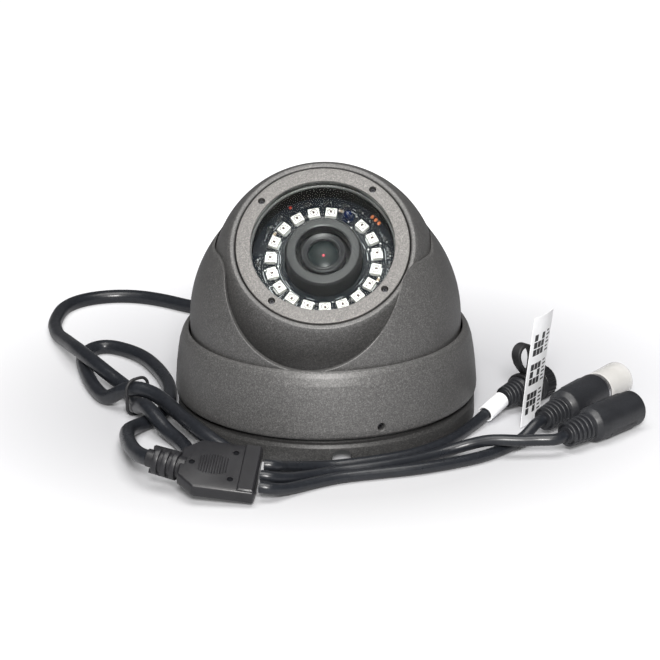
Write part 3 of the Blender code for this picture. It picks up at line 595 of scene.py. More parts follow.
MAIN_ROUTE = [
    (0, 56.4, 3.0), (-0.6, 61.5, 2.7), (-5.0, 69.0, 2.45), (-13, 75.5, 2.45), (-22, 81, 2.45),
    (-35, 88, 2.45), (-48.8, 96.0, 2.45), (-57.8, 102.4, 2.45), (-66.3, 106.7, 2.45), (-75, 108.1, 2.45),
    (-83.5, 106.1, 2.45), (-89.9, 101.3, 2.45), (-93.8, 93.3, 2.45), (-94.9, 80.1, 2.45),
    (-93.9, 72.1, 2.7), (-92, 63.6, 3.5), (-89.3, 56.1, 4.7), (-86.3, 47.5, 6.1), (-83.2, 39.6, 7.2),
    (-79.9, 32.5, 7.6), (-76.9, 27.2, 7.3), (-74, 23.3, 6.5), (-71.3, 20.2, 5.5), (-68.7, 17.7, 4.4),
    (-66.3, 15.2, 3.5), (-62.3, 8, 3.0), (-60.7, -1.5, 3.4), (-59.6, -8.0, 4.9), (-57.8, -13.0, 7.4),
    (-55.6, -17.6, 7.8), (-52.9, -21.8, 6.2), (-49.4, -26.3, 3.8), (-45.6, -31.5, 2.6),
    (-42.8, -38.6, 2.45), (-41.4, -45.4, 2.45), (-41.0, -51.5, 2.45), (-39.7, -56.3, 2.45),
    (-36.2, -59.8, 2.45), (-31.4, -61.1, 2.45), (-26.6, -59.8, 2.45), (-23.1, -56.3, 2.45),
    (-22.4, -51.5, 2.6), (-25.4, -47.6, 3.2), (-30.6, -44.2, 4.8), (-36.4, -39.2, 7.0), (-41, -32.5, 8.0),
    (-45.0, -23.6, 7.6), (-48.4, -16, 7.5), (-51.3, -10, 7.6), (-55.0, -5.4, 8.3), (-60, -2.4, 9.0),
    (-64.7, 0.0, 7.6), (-68.4, 3.0, 4.6), (-71.4, 6.4, 2.7), (-74, 11.6, 2.45), (-77.3, 20.9, 2.45),
    (-80.3, 33, 2.45), (-81.9, 43.4, 2.45), (-80.7, 50.5, 2.45), (-76.4, 54.8, 2.45), (-70.6, 53.2, 2.45),
    (-62.2, 45.1, 2.45), (-56, 32.4, 2.45), (-52.2, 20.1, 2.45), (-50.9, 11, 2.45), (-50.8, 3, 2.45),
    (-51.6, -5, 2.45), (-53.6, -10.6, 2.45), (-56.4, -15.2, 2.45), (-59.6, -19.8, 2.9), (-61.2, -25, 4.0),
    (-61.6, -30.9, 5.1), (-60.9, -38.6, 6.3), (-59.6, -45.7, 7.3), (-57.9, -52.1, 8.1), (-55.9, -57.4, 8.9),
    (-53.9, -61.0, 9.6),
]
SERVICE_ROUTE = [
    on_block(13.9, 4.6), on_block(17.0, 4.8), (-13.0, -61.0, 6.0), (-6.4, -55, 3.4), (0.6, -51.4, 2.0),
    (7.6, -49.6, 1.95), (17.7, -46.3, 1.95), (26.9, -41.8, 1.95), (35.6, -34.5, 1.95), (41.2, -27.2, 1.95),
    SERVICE_START - 15.5 * SLEEVE_AXIS, SERVICE_START - 8 * SLEEVE_AXIS, SERVICE_START - 1.1 * SLEEVE_AXIS,
]
POWER_ROUTE = [
    on_block(13.5, 0), on_block(16.5, 0), (-11.6, -65.6, 4.2), (-4, -59, 2.3), (3.6, -54.8, 1.95),
    (11.2, -52.8, 1.95), (19.2, -50, 1.95), (25.8, -47.0, 1.95), (31.4, -44.1, 2.0), (37.2, -41.5, 2.6),
    (43.2, -40.4, 4.0), (48.6, -41.0, 5.5), (53.5, -41.8, 6.0), (59, -42.0, 5.8), (64.5, -41.6, 5.8),
    POWER_START - 5 * POWER_AXIS, POWER_START - 1.0 * POWER_AXIS,
]
VIDEO_ROUTE = [
    on_block(13.9, -4.6), on_block(17.0, -4.7), (-11.8, -69.6, 2.6), (-4, -64.0, 1.95), (4, -59.9, 1.95),
    (13.2, -57.4, 1.95), (27.7, -53.8, 1.95), (39.5, -49.0, 1.95), (47, -45.0, 1.95), (52, -41.0, 1.95),
    (57, -35.8, 1.95), (61.2, -31.9, 3.2), VIDEO_START - 5 * VIDEO_AXIS, VIDEO_START - 0.9 * VIDEO_AXIS,
]


def smooth_route(route, spacing):
    """Runs a smooth curve through a route. It gives evenly spaced points and the curve's length."""
    points = [Vector(p) for p in route]
    padded = [2 * points[0] - points[1], *points, 2 * points[-1] - points[-2]]
    fine = [points[0]]
    for a, b, c, d in zip(padded, padded[1:], padded[2:], padded[3:]):
        for i in range(1, 21):
            t = i / 20
            square, cube = 2 * a - 5 * b + 4 * c - d, 3 * b - a - 3 * c + d
            fine.append(0.5 * (2 * b + (c - a) * t + square * t**2 + cube * t**3))
    for _ in range(40):  # a stiff jacket has no sudden change of bend
        fine = [fine[0]] + [(p + 2 * q + r) / 4 for p, q, r in zip(fine, fine[1:], fine[2:])] + [fine[-1]]
    length = sum((q - p).length for p, q in zip(fine, fine[1:]))
    count = max(2, round(length / spacing))
    step = length / count
    kept = [fine[0]]
    walked = 0.0
    for p, q in zip(fine, fine[1:]):
        walked += (q - p).length
        while walked >= step * len(kept) and len(kept) < count:
            back = (walked - step * len(kept)) / max((q - p).length, 1e-9)
            kept.append(q + (p - q) * back)
    return kept + [fine[-1]], length


def cable(name, route, diameter, material, replaces=(), closed=False, spacing=1.6):
    """Makes a round cable along a route, and gives it and its length in metres."""
    points, length = smooth_route(route, spacing)
    curve = bpy.data.curves.new(name, "CURVE")
    curve.dimensions = "3D"
    curve.bevel_depth = diameter / 2 * MM
    curve.bevel_resolution = 6
    curve.use_fill_caps = not closed
    spline = curve.splines.new("POLY")
    if closed:
        points = points[:-1]
        spline.use_cyclic_u = True
    spline.points.add(len(points) - 1)
    for spot, point in zip(spline.points, points):
        spot.co = (*(point * MM), 1)
    spline.use_smooth = True
    curve.materials.append(material)
    obj = new_object(name, curve)
    join_model(obj, "base", replaces)
    return obj, length * MM


def ribs_into(bm, start, end, low, high, count, share=0.55, spine=1.3, sides=48):
    """Adds ring-shaped ribs over a taper, and two spines that join them."""
    depth, sink = 1.4, 0.12
    pitch = (end - start) / count
    width = pitch * share
    for k in range(count):
        z = start + pitch * k
        r = low + (high - low) * (k + 0.5) / count
        rib = [(r, z, 0.3), (r, z + width, 0.3), (r - depth, z + width), (r - depth, z)]
        spin_into(bm, rounded(rib, 3), sides)
    near, far = low - depth, low - sink
    for sign in (-1, 1):
        outline = [(sign * near, -spine), (sign * far, -spine), (sign * far, spine), (sign * near, spine)]
        levels = ((1, start), ((high - sink) / far, end))
        ends = [[bm.verts.new((x * wide, y, z)) for x, y in outline] for wide, z in levels]
        bm.faces.new(ends[0])
        bm.faces.new(ends[1])
        bridge(bm, ends)


# ---------------------------------------------------------------- base


def base_casting():
    """The base, with its mounting holes, its screw posts and the two openings in its side."""
    outline = rounded([
        (44.9, 7.0, 0.1), (46.5, 7.0, 0.5), (47.2, 5.9, 0.9), (47.3, 0.5, 0.4), (46.9, 0, 0.3),
        (43.9, 0, 0.3), (43.9, 4.9, 0.3), (11.0, 4.9, 0.3), (11.0, 6.5, 0.3), (40.8, 6.5, 0.3),
        (40.8, 14.0, 0.3), (43.2, 14.0, 0.3), (43.2, 8.5, 0.3), (44.9, 8.5, 0.3),
    ])
    # The base gets the darker copy of the paint, a painted shade.
    base = turned("base_casting", outline, SHADED_BASE_PAINT, "base", "paint", ["mounting_base"])
    bosses = bmesh.new()
    holes = bmesh.new()
    for spot in at_angles(MOUNT_HOLE_CIRCLE, (2, 122, 242)):
        spin_into(bosses, [(0, 5.4), (4.4, 5.4), (4.6, 0.0), (0, 0.0)], 40, spot)
        spin_into(holes, [(0, 9), (2.2, 9), (2.2, -1), (0, -1)], 32, spot)
    for spot in at_angles(RETAINER_SCREW_CIRCLE, (31, 151, 271)):
        spin_into(bosses, [(0, 10.2), (2.2, 10.2), (2.4, 5.4), (0, 5.4)], 32, spot)
        spin_into(holes, [(0, 12), (1.3, 12), (1.3, 6.9), (0, 6.9)], 24, spot)
    prism_into(holes, arch(3.0, 5.5, 2.6, -1), 42.2, 50, upright(5.7))
    prism_into(holes, arch(4.0, 5.6, 2.6, -1), 42.2, 50, upright(180))
    carve(base, bosses, operation="UNION")
    carve(base, holes)


def collar():
    """The locking collar and the three grub screws in its side."""
    outer = [
        (43.9, 29.75, 0.35), (44.75, 29.3, 0.9), (45.5, 28.0, 2.5), (46.3, 25.5, 4), (46.9, 22.0, 8),
        (47.4, 18.0, 12), (47.7, 14.0, 12), (47.9, 11.0, 5), (47.8, 9.5, 0.8), (47.3, 8.85, 0.25),
    ]
    inner = [
        (43.6, 8.85, 0.2), (43.6, 10.3), (45.5, 10.3), (45.3, 20.0), (44.6, 25.5), (43.35, 28.4, 0.5),
        (43.35, 29.6, 0.3),
    ]
    ring = turned("collar_fine", rounded(outer + inner), PAINT, "base", "paint", ["clamp_collar"])
    drilled = bmesh.new()
    spots = [along((0, 0, GRUB_SCREW_HEIGHT), front_azimuth(a)) for a in (20.5, 140.5, 260.5)]
    for spot in spots:
        hole = [(0, 52), (1.5, 52), (1.45, 47.6), (1.15, 47.2), (1.15, 42.4), (0, 42.4)]
        spin_into(drilled, hole, 28, spot)
    carve(ring, drilled)
    grub = rounded([(0, 46.4), (0.85, 46.4, 0.2), (0.85, 43.9), (0.4, 43.5), (0, 43.5)])
    screws("grub_screw", spots, grub, 0.45, (45.4, 47.0), "base")


def screws(name, spots, outline, socket_radius, socket_depth, body):
    """Makes a screw with a six-sided socket at each spot."""
    for number, spot in enumerate(spots, 1):
        replaced = [f"{name}_{number}"]
        screw = turned(f"{name}_fine_{number}", outline, DARK_STEEL, body, "steel", replaced, spot, 24)
        socket = bmesh.new()
        prism_into(socket, arc((0, 0), socket_radius, 0, 300, 5), *socket_depth, spot)
        carve(screw, socket)


def base_grommet():
    """The rubber grommet where the lead leaves the base, with its four rings."""
    bm = bmesh.new()
    plug = rounded([(-3.6, 0.4, 0.5), (3.6, 0.4, 0.5), (3.6, 5.2, 2.2), (-3.6, 5.2, 2.2)], 6)
    prism_into(bm, plug, 42.3, 47.6, upright(180))
    spot = along((0, 0, 3.0), (0, 1, 0))
    sleeve = [(0, 46), (2.95, 46), (2.95, 48.6, 0.6), (2.8, 49.0, 0.4), (2.65, 55.8, 0.4), (0, 55.8)]
    spin_into(bm, rounded(sleeve), 48, spot)
    for k in range(4):
        z = 49.6 + 1.5 * k
        r = 2.7 - 0.04 * k
        rib = [(2.0, z), (r + 0.25, z, 0.25), (r + 0.2, z + 0.8, 0.25), (2.0, z + 0.8)]
        spin_into(bm, rounded(rib), 48, spot)
    return place("grommet_fine", bm, RUBBER, "base", "rubber", ["base_grommet"])


# ---------------------------------------------------------------- shell


def radius_at(height, outer):
    """The shell's radius at a height, outside or inside."""
    if outer:
        return math.sqrt(max(SHELL_RADIUS**2 - (height - SHELL_CENTRE) ** 2, 0))
    inside = math.sqrt(max(SHELL_INNER**2 - (height - SHELL_CENTRE) ** 2, 0))
    socket = math.sqrt(max((BALL_RADIUS + 0.3) ** 2 - (height - BALL_CENTRE) ** 2, 0))
    return max(inside, socket) if height > BALL_CENTRE else inside


def window_side():
    """The rim's right half: (x, height) round the window, then (azimuth, height) to the back."""
    corner = 4.4
    side = arc((0, WINDOW_CENTRE), WINDOW_RADIUS, -90, -9.2, 70)
    shoulder = arc((side[-1][0] + corner, SHOULDER - corner), corner, 186, 90, 18)
    front = [p for p in side if p[1] < shoulder[0][1] - 0.05] + shoulder
    x, z = front[-1]
    azimuth = math.degrees(math.asin(x / radius_at(z, True)))
    rest = []
    for k in range(1, 71):
        a = azimuth + (180 - azimuth) * k / 70
        blend = min(max((a - 76) / 20, 0), 1)
        blend = blend * blend * (3 - 2 * blend)
        rest.append((a, SHOULDER + (RIM_BACK - SHOULDER) * blend))
    return front, rest


def shell_stations():
    """The rim all the way round, as an outer and an inner point at each station."""
    front, rest = window_side()
    stations = []
    for x, z in front:
        stations.append([
            Vector((x, -math.sqrt(radius_at(z, outer) ** 2 - x * x), z)) for outer in (True, False)
        ])
    for a, z in rest:
        inner = max(radius_at(z, False), radius_at(z, True) - RIM_WALL)
        stations.append([front_azimuth(a) * r + Vector((0, 0, z)) for r in (radius_at(z, True), inner)])
    return stations + [[Vector((-p.x, p.y, p.z)) for p in station] for station in reversed(stations[1:-1])]


def shell_side(rim, tangent, across, round_by, outer):
    """One side of the wall under a rim point: the rim's round corner, and the drop to the shell's foot."""
    away = tangent.cross((rim - Vector((0, 0, SHELL_CENTRE))).normalized()).normalized()
    if away.z > 0:
        away = -away
    corner = []
    for k in range(4):
        t = k / 3 * math.pi / 2
        corner.append(rim + away * round_by * (1 - math.sin(t)) + across * round_by * (1 - math.cos(t)))
    start = corner[0]
    out = Vector((start.x, start.y, 0)).normalized()
    foot = SHELL_FOOT if outer else FLANGE_HIGH
    drop = []
    for k in range(1, 31):
        z = start.z + (foot - start.z) * (k / 30) ** 1.15
        drop.append(out * radius_at(z, outer) + Vector((0, 0, z)))
    return corner, drop


def shell():
    """The slit shell, with a pocket in each side for the eye's pins."""
    stations = shell_stations()
    bm = bmesh.new()
    columns = []
    for i, (outer, inner) in enumerate(stations):
        ahead, behind = stations[(i + 1) % len(stations)], stations[i - 1]
        across = inner - outer
        round_by = min(RIM_EDGE, across.length * 0.45)
        across.normalize()
        corner, drop = shell_side(outer, (ahead[0] - behind[0]).normalized(), across, round_by, True)
        column = drop[::-1] + corner
        corner, drop = shell_side(inner, (ahead[1] - behind[1]).normalized(), -across, round_by, False)
        column += corner[::-1] + drop
        out = Vector((column[0].x, column[0].y, 0)).normalized()
        column += [out * FLANGE_RADIUS + Vector((0, 0, z)) for z in (FLANGE_HIGH, FLANGE_LOW)]
        columns.append([bm.verts.new(p) for p in column])
    bridge(bm, columns, closed=True)
    piece = place("shell_fine", bm, PAINT, "turret", "paint", ["turret_shell"], turn_z(SHELL_PAN), 40)
    pockets = bmesh.new()
    for sign in (-1, 1):
        spot = along((0, 0, BALL_CENTRE), sign * heading(LENS_AZIMUTH))
        spin_into(pockets, [(0, 40.1), (1.5, 40.1), (1.5, 36.5), (0, 36.5)], 24, spot)
    return carve(piece, pockets)


def lens_matrix():
    """The eye's axes: X along its pins, Z out through the lens."""
    elevation = math.radians(LENS_ELEVATION)
    across = heading(LENS_AZIMUTH)
    out = front_azimuth(LENS_AZIMUTH) * math.cos(elevation) + Vector((0, 0, math.sin(elevation)))
    turn = Matrix((across, out.cross(across), out)).transposed().to_4x4()
    return shift(0, 0, BALL_CENTRE) @ turn @ turn_z(LENS_ROLL)


LENS = lens_matrix()


# ---------------------------------------------------------------- ball and face


def ball_pieces():
    """The eye's shell and face ring with their screws, its window, and the cup behind the lamp board."""
    outline = (
        [(BALL_LIP, 14.0), (BALL_LIP, 16.5), (27.2, 16.5), (27.2, 20.3)]
        + arc((27.75, 20.35), 0.55, 180, 95, 5)
        + arc((28.3, 20.2), 0.75, 80, 42, 5)
        + sphere_side(BALL_RADIUS, 0, 20.4, -27.6, 90)
        + rounded([(22.3, -27.8, 0.5), (21.8, -28.0), (5.5, -28.0)])[1:]
        + [(5.5, -31.6), (3.5, -31.6), (3.5, -25.4)]
        + sphere_side(BALL_INNER, 0, -25.4, 14.0, 40)
    )
    shell_piece = turned("ball_fine", outline, PAINT, "ball", "paint", ["ball_shell"], LENS, 256, 30)
    ring = rounded([
        (22.3, 21.0, 0.22), (26.88, 21.0, 0.32), (26.88, 16.8, 0.2), (23.1, 16.8, 0.2), (23.1, 20.2),
        (22.3, 20.2, 0.1),
    ], 5)
    # The face ring gets the lighter, warmer copy of the paint, a painted light.
    ring_piece = turned("face_ring_fine", ring, LIT_RING_PAINT, "ball", "paint", ["face_ring"], LENS, 256, 30)
    spots = [LENS @ spot for spot in at_angles(FACE_SCREW_CIRCLE, (45, 135, 225, 315))]
    holes = bmesh.new()
    deep = bmesh.new()
    for spot in spots:
        spin_into(holes, [(0, 22), (1.22, 22), (1.12, 20.9), (1.08, 16.0), (0, 16.0)], 28, spot)
        spin_into(deep, [(0, 17), (1.08, 17), (1.08, 13.0), (0, 13.0)], 24, spot)
    carve(ring_piece, holes)
    carve(shell_piece, deep)
    # The eye's inside gets the near-black finish: painted shade.
    line_with(shell_piece, CUP_AND_SHADE_BLACK, inside_eye)
    screws("face_screw", spots, rounded([(0, 20.1), (0.8, 20.1, 0.25), (0.8, 14.2), (0, 14.2)]), 0.42,
           (19.4, 20.6), "ball")

    glass = rounded([(0, 19.9), (22.75, 19.9, 0.25), (22.75, 17.9, 0.25), (0, 17.9)])
    turned("front_glass_fine", glass, GLASS, "ball", "glass", ["front_glass"], LENS, 160)
    seal = rounded([(22.8, 17.6, 0.2), (22.8, 16.8, 0.2), (22.1, 16.8, 0.2), (22.1, 17.6, 0.2)])
    turned("glass_seal_fine", seal, SEAL, "ball", "rubber", ["glass_seal"], LENS, 128)
    rim = BOARD_TOP - 1.9
    cup = rounded([
        (20.8, rim), (BOARD_RADIUS, rim, 0.2), (BOARD_RADIUS, 1.0, 0.2), (21.7, 1.0, 0.2),
        (21.7, rim - 0.8, 0.3), (20.8, rim - 0.8),
    ])
    turned("board_cup_fine", cup, CUP_AND_SHADE_BLACK, "ball", "black_plastic", ["board_cup"], LENS, 160)


def inside_eye(spot):
    """Whether a face of the eye's shell is inside it, or behind its front wall. These faces take the
    near-black finish as painted shade.
    """
    behind_wall = 10 < spot.z < 16.7 and spot.to_2d().length < 27.3
    return spot.length < (BALL_RADIUS + BALL_INNER) / 2 and (spot.z < 14.1 or behind_wall)


def board_angle(place_number):
    """The angle of one of the lamp ring's places, in degrees."""
    return 90 - LED_FIRST - place_number * 360 / LED_PLACES


def on_board(radius, degrees, turn=0.0, lift=0.02):
    """A place on the board's face, by its distance and angle from the lens."""
    return LENS @ turn_z(degrees) @ shift(radius, 0, BOARD_TOP + lift) @ turn_z(turn)


def board_pieces():
    """The lamp board: its lamps, photocell, white print and small components."""
    low, edge = BOARD_TOP - 1.6, BOARD_RADIUS
    board = [(12.2, BOARD_TOP, 0.1), (edge, BOARD_TOP, 0.1), (edge, low), (12.2, low)]
    turned("lamp_board", rounded(board), CIRCUIT, "ball", "circuit", ["ir_board"], LENS, 128)
    lamps()
    dome = [(0, 4.4), *arc((0, 2.9), 1.5, 84, 4, 10), (1.5, 1.3), (1.8, 1.2), (1.8, 0.4), (0, 0.4)]
    spot = on_board(LED_PITCH, board_angle(PHOTOCELL_PLACE), lift=0.0)
    turned("photocell_fine", dome, PHOTOCELL, "ball", "sensor", ["photocell"], spot, 48)
    board_print()
    board_components()


def lamps():
    """The lamps: a ceramic body, a clear window with a dark die in it, and a solder pad at each side."""
    bodies, resins, dies, pads = (bmesh.new() for _ in range(4))
    window = rounded([(0.98, 0.09, 0.03), (1.2, 0.09, 0.03), (1.2, -0.1), (0.98, -0.1)])
    for number in range(LED_PLACES):
        if number == PHOTOCELL_PLACE:
            continue
        spot = on_board(LED_PITCH, board_angle(number), lift=0.05)
        top = spot @ shift(0, 0, LAMP_HEIGHT)
        slab_into(bodies, (2.9, 3.5, LAMP_HEIGHT), 0.2, 0.1, spot)
        spin_into(resins, window, 24, top)
        for x, y in ((0.5, 1.25), (-0.5, -1.25)):
            slab_into(resins, (0.5, 0.16, 0.08), 0.06, 0.02, top @ shift(x, y))
        slab_into(dies, (0.78, 0.7, 0.1), 0.15, 0.0, top @ shift(0.05, 0.1))
        slab_into(dies, (0.14, 1.1, 0.05), 0.05, 0.0, top @ shift(0.5, 0.2))
        for side in (-1, 1):
            slab_into(pads, (0.5, 2.6, 0.3), 0.05, 0.05, spot @ shift(side * 1.6, 0, -0.04))
    place("lamp_bodies", bodies, LAMP_BODY, "ball", "nylon")
    place("lamp_resins", resins, LAMP_CLEAR, "ball", "circuit")
    place("lamp_dies", dies, LAMP_DIE, "ball", "circuit")
    place("lamp_pads", pads, SOLDER, "ball", "steel")


def print_arc(bm, radius, start, end, width=0.16):
    """Adds an arc of white print on the board's face."""
    steps = max(3, int(abs(end - start) / 3))
    inner = arc((0, 0), radius, start, end, steps)
    outer = arc((0, 0), radius + width, end, start, steps)
    prism_into(bm, inner + outer, BOARD_TOP + 0.01, BOARD_TOP + 0.05, LENS)


def board_print():
    """White print on the board: arcs and dashes round the lamps and beside the edge's chips."""
    marks = bmesh.new()
    for number in range(LED_PLACES):
        centre = board_angle(number)
        if number % 2 == 0:
            print_arc(marks, 13.6, centre - 5.5, centre + 5.5)
        if number % 3 == 1:
            print_arc(marks, 19.2, centre - 6, centre + 6, 0.14)
        if number in (9, 10, 11, 12):
            print_arc(marks, 19.1, centre - 7, centre + 7)
            for side in (-7, 7):
                slab_into(marks, (2.6, 0.16, 0.04), 0.05, 0.0, on_board(17.9, centre + side))
        if number in (2, 3, 4, 5, 6, 14, 15, 16):
            for side in (-4, 0, 4):
                slab_into(marks, (0.55, 0.16, 0.04), 0.05, 0.0, on_board(20.0, centre + side))
    print_arc(marks, 14.2, 158, 232, 0.12)
    for start in (12, 40, 62):
        print_arc(marks, 13.4, start, start + 9, 0.14)
    for degrees in EDGE_CHIPS:
        slab_into(marks, (0.9, 0.14, 0.04), 0.05, 0.0, on_board(20.3, degrees + 4.2, 90))
    place("board_print", marks, SILK, "ball", "nylon")


def board_components():
    """Chips, capacitors and solder round the board, three copper pads and a red mark."""
    chips, capacitors, solder, pads, red = (bmesh.new() for _ in range(5))

    def soldered(bm, size, end_size, reach, spot):
        slab_into(bm, size, 0.08, 0.05, spot)
        for side in (-1, 1):
            slab_into(solder, end_size, 0.05, 0.05, spot @ shift(0, side * reach))

    for number in range(LED_PLACES):
        between = board_angle(number) + 180 / LED_PLACES
        kind = (number * 7) % 5
        if kind < 2:
            spot = on_board(15.2 + kind, between, 8 * kind)
            soldered(chips, (0.9, 1.7, 0.5), (0.95, 0.35, 0.52), 0.85, spot)
        elif kind == 2:
            soldered(capacitors, (0.8, 1.4, 0.6), (0.82, 0.3, 0.62), 0.7, on_board(18.2, between))
        else:
            for radius, degrees in ((14.4, between), (18.6, between + 3)):
                slab_into(solder, (0.5, 0.5, 0.03), 0.24, 0.0, on_board(radius, degrees))
    for degrees in EDGE_CHIPS:
        slab_into(chips, (1.0, 1.5, 0.5), 0.1, 0.06, on_board(20.6, degrees, degrees % 7 * 10))
        slab_into(solder, (0.5, 0.3, 0.3), 0.1, 0.03, on_board(20.7, degrees - 3.8, 20))
    for degrees in (150, 158):
        slab_into(chips, (1.6, 1.2, 0.7), 0.1, 0.06, on_board(17.8, degrees))
    for k in range(3):
        slab_into(pads, (1.2, 0.85, 0.12), 0.25, 0.03, on_board(21.6, 39.6 - 4.1 * k, 12))
    slab_into(red, (0.8, 0.8, 0.3), 0.3, 0.05, on_board(21.7, 113.5))
    place("board_chips", chips, PART_DARK, "ball", "circuit")
    place("board_capacitors", capacitors, PART_TAN, "ball", "circuit")
    place("board_solder", solder, SOLDER, "ball", "steel")
    place("board_pads", pads, PAD, "ball", "brass")
    place("board_red_mark", red, RED_MARK, "ball", "circuit")


def lens_pieces():
    """The light shield, the lens barrel, its front element and the sensor's red glint in it, painted as a
    small glowing disc.
    """
    shroud = rounded([
        (8.35, 17.2, 0.25), (8.9, 17.4, 0.2), (11.3, 17.1, 0.5), (11.9, 16.2, 0.5), (11.9, 8.0), (10.6, 8.0),
        (10.6, 12.6), (8.35, 13.2, 0.2),
    ])
    shield = turned("shroud_fine", shroud, BLACK, "ball", "black_plastic", ["lens_shroud"], LENS, 128)
    # The shield's walls and underside get the near-black finish, darker than its top: painted shade.
    line_with(shield, CUP_AND_SHADE_BLACK, lambda spot: spot.z < 16.1 and not 8.2 < spot.to_2d().length < 8.5)
    barrel = rounded([
        (4.75, 14.6), (4.85, 15.3, 0.1), (5.3, 15.55, 0.1), (5.5, 15.45), (6.5, 15.95, 0.2), (7.0, 15.6, 0.3),
        (7.0, 10.2), (6.0, 10.0), (6.0, -1.5), (3.0, -1.5), (3.0, 12.4), (4.75, 12.7),
    ])
    turned("barrel_fine", barrel, BLACK, "ball", "black_plastic", ["lens_barrel"], LENS, 96)
    glass = [(0, 15.1)] + arc((0, 3.1), 12.0, 87, 67.5, 12) + [(4.6, 13.1), (0, 13.1)]
    turned("lens_front_element", glass, LENS_COAT, "ball", "glass", ["lens_glass"], LENS, 64)
    glint = [(0, 15.16), (0.34, 15.13), (0.34, 15.0), (0, 15.0)]
    turned("lens_red_glint", glint, RED_GLINT, "ball", "sensor", (), LENS @ shift(0.0, -0.7, -0.04), 20)


# ---------------------------------------------------------------- splitter, boots and plugs


def splitter():
    """The block where the lead becomes three tails, with its grip ribs, three dimples with dark discs at
    their bottoms as painted shade, and strain relief.
    """
    section = [
        (-10.4, 0.7), (-9.7, 3.2), (9.7, 3.2), (10.4, 0.7), (10.4, -0.6), (6.2, -3.2), (-6.2, -3.2),
        (-10.4, -0.6),
    ]
    bm = bmesh.new()
    rings = []
    for x, width in ((-10.8, 0.55), (-5.5, 1.0), (12.7, 1.0)):
        rings.append([bm.verts.new((x, y * width, z)) for y, z in section])
    bridge(bm, rings)
    bm.faces.new(rings[0])
    bm.faces.new(rings[-1])
    body = place("splitter_fine", bm, BLACK, "base", "black_plastic", ["splitter_block"], BLOCK_PLACE)
    bevel = body.modifiers.new("soft_edges", "BEVEL")
    bevel.width = 0.7 * MM
    bevel.segments = 4
    bevel.limit_method = "ANGLE"
    bevel.angle_limit = math.radians(20)
    details = bmesh.new()
    for k in range(-5, 6):
        half = 4.1 * (1 - (k / 10) ** 2)
        slab_into(details, (0.42, 2 * half, 0.5), 0.2, 0.15, BLOCK_PLACE @ shift(-0.8 + 0.8 * k, 0, 3.05))
    slab_into(details, (4.9, 19.0, 0.9), 0.4, 0.35, BLOCK_PLACE @ shift(10.0, 0, 3.05))
    place("splitter_grip", details, BLACK, "base", "black_plastic")
    dimples = bmesh.new()
    # Dark discs at the dimples' bottoms: painted shade in the dimples.
    dimple_shade = bmesh.new()
    for x, y in ((-7.2, 0.0), (5.2, 5.8), (5.0, -5.2)):
        spot = BLOCK_PLACE @ shift(x, y)
        spin_into(dimples, [(0, 4.2), (1.0, 4.2), (0.9, 2.5), (0, 2.5)], 20, spot)
        spin_into(dimple_shade, [(0, 2.7), (0.88, 2.7), (0.88, 2.4), (0, 2.4)], 20, spot)
    carve(body, dimples)
    place("splitter_sinks", dimple_shade, CUP_AND_SHADE_BLACK, "base", "black_plastic")
    bm = bmesh.new()
    relief = [(0, 12.2), (2.7, 12.2, 0.2), (2.75, 9.0), (3.5, 8.8, 0.3), (3.5, 0.0), (0, 0.0)]
    spin_into(bm, rounded(relief), 64)
    ribs_into(bm, 2.2, 10.6, 4.4, 4.25, 3, 0.62, 1.0)
    spot = RELIEF_PLACE @ along((0, 0, 0), (-1, 0, 0)) @ turn_z(35)
    place("splitter_relief", bm, BLACK, "base", "black_plastic", (), spot)


def boot(name, start, axis, length, radius, bore, depth, replaces):
    """A moulded boot with a ribbed taper, a round body and a bore in its front face."""
    spot = along(start, axis)
    outline = rounded([
        (radius, length, 0.6), (radius + 0.12, 15.0, 3.0), (radius - 0.1, 11.6, 1.2), (4.5, 10.0, 0.8),
        (3.0, 9.4, 0.3), (2.7, 0, 0.4), (0, 0), (0, length - depth), (bore, length - depth, 0.2),
        (bore, length, 0.35),
    ])
    bm = bmesh.new()
    spin_into(bm, outline, 96)
    ribs_into(bm, 0.2, 9.6, 3.7, 4.5, 5, 0.58, 1.4)
    low, high = radius - 0.4, radius + 0.12
    for sign in (-1, 1):
        ridge = [(sign * low, -2.4), (sign * high, -1.4, 0.3), (sign * high, 1.4, 0.3), (sign * low, 2.4)]
        prism_into(bm, rounded(ridge), 16.0, length - 4.0)
    return place(name, bm, BOOT, "base", "black_plastic", replaces, spot)


def power_plug():
    """The power socket: its boot, the metal sleeve in the bore and the pin."""
    spot = along(POWER_START, POWER_AXIS)
    body = boot("power_boot_fine", POWER_START, POWER_AXIS, 32.0, 5.7, 3.4, 11.0, ["power_boot"])
    sleeve = rounded([(3.1, 31.0, 0.15), (3.1, 21.3), (2.75, 21.3), (2.75, 31.0, 0.1)])
    ring = turned("power_sleeve_fine", sleeve, BRASS, "base", "brass", ["power_sleeve"], spot, 48)
    pin = rounded([(0, 29.5), (1.0, 29.5, 0.6), (1.0, 21.3), (0, 21.3)])
    pin_piece = turned("power_pin_fine", pin, BRASS, "base", "brass", ["power_pin"], spot, 24)
    return [body, ring, pin_piece]


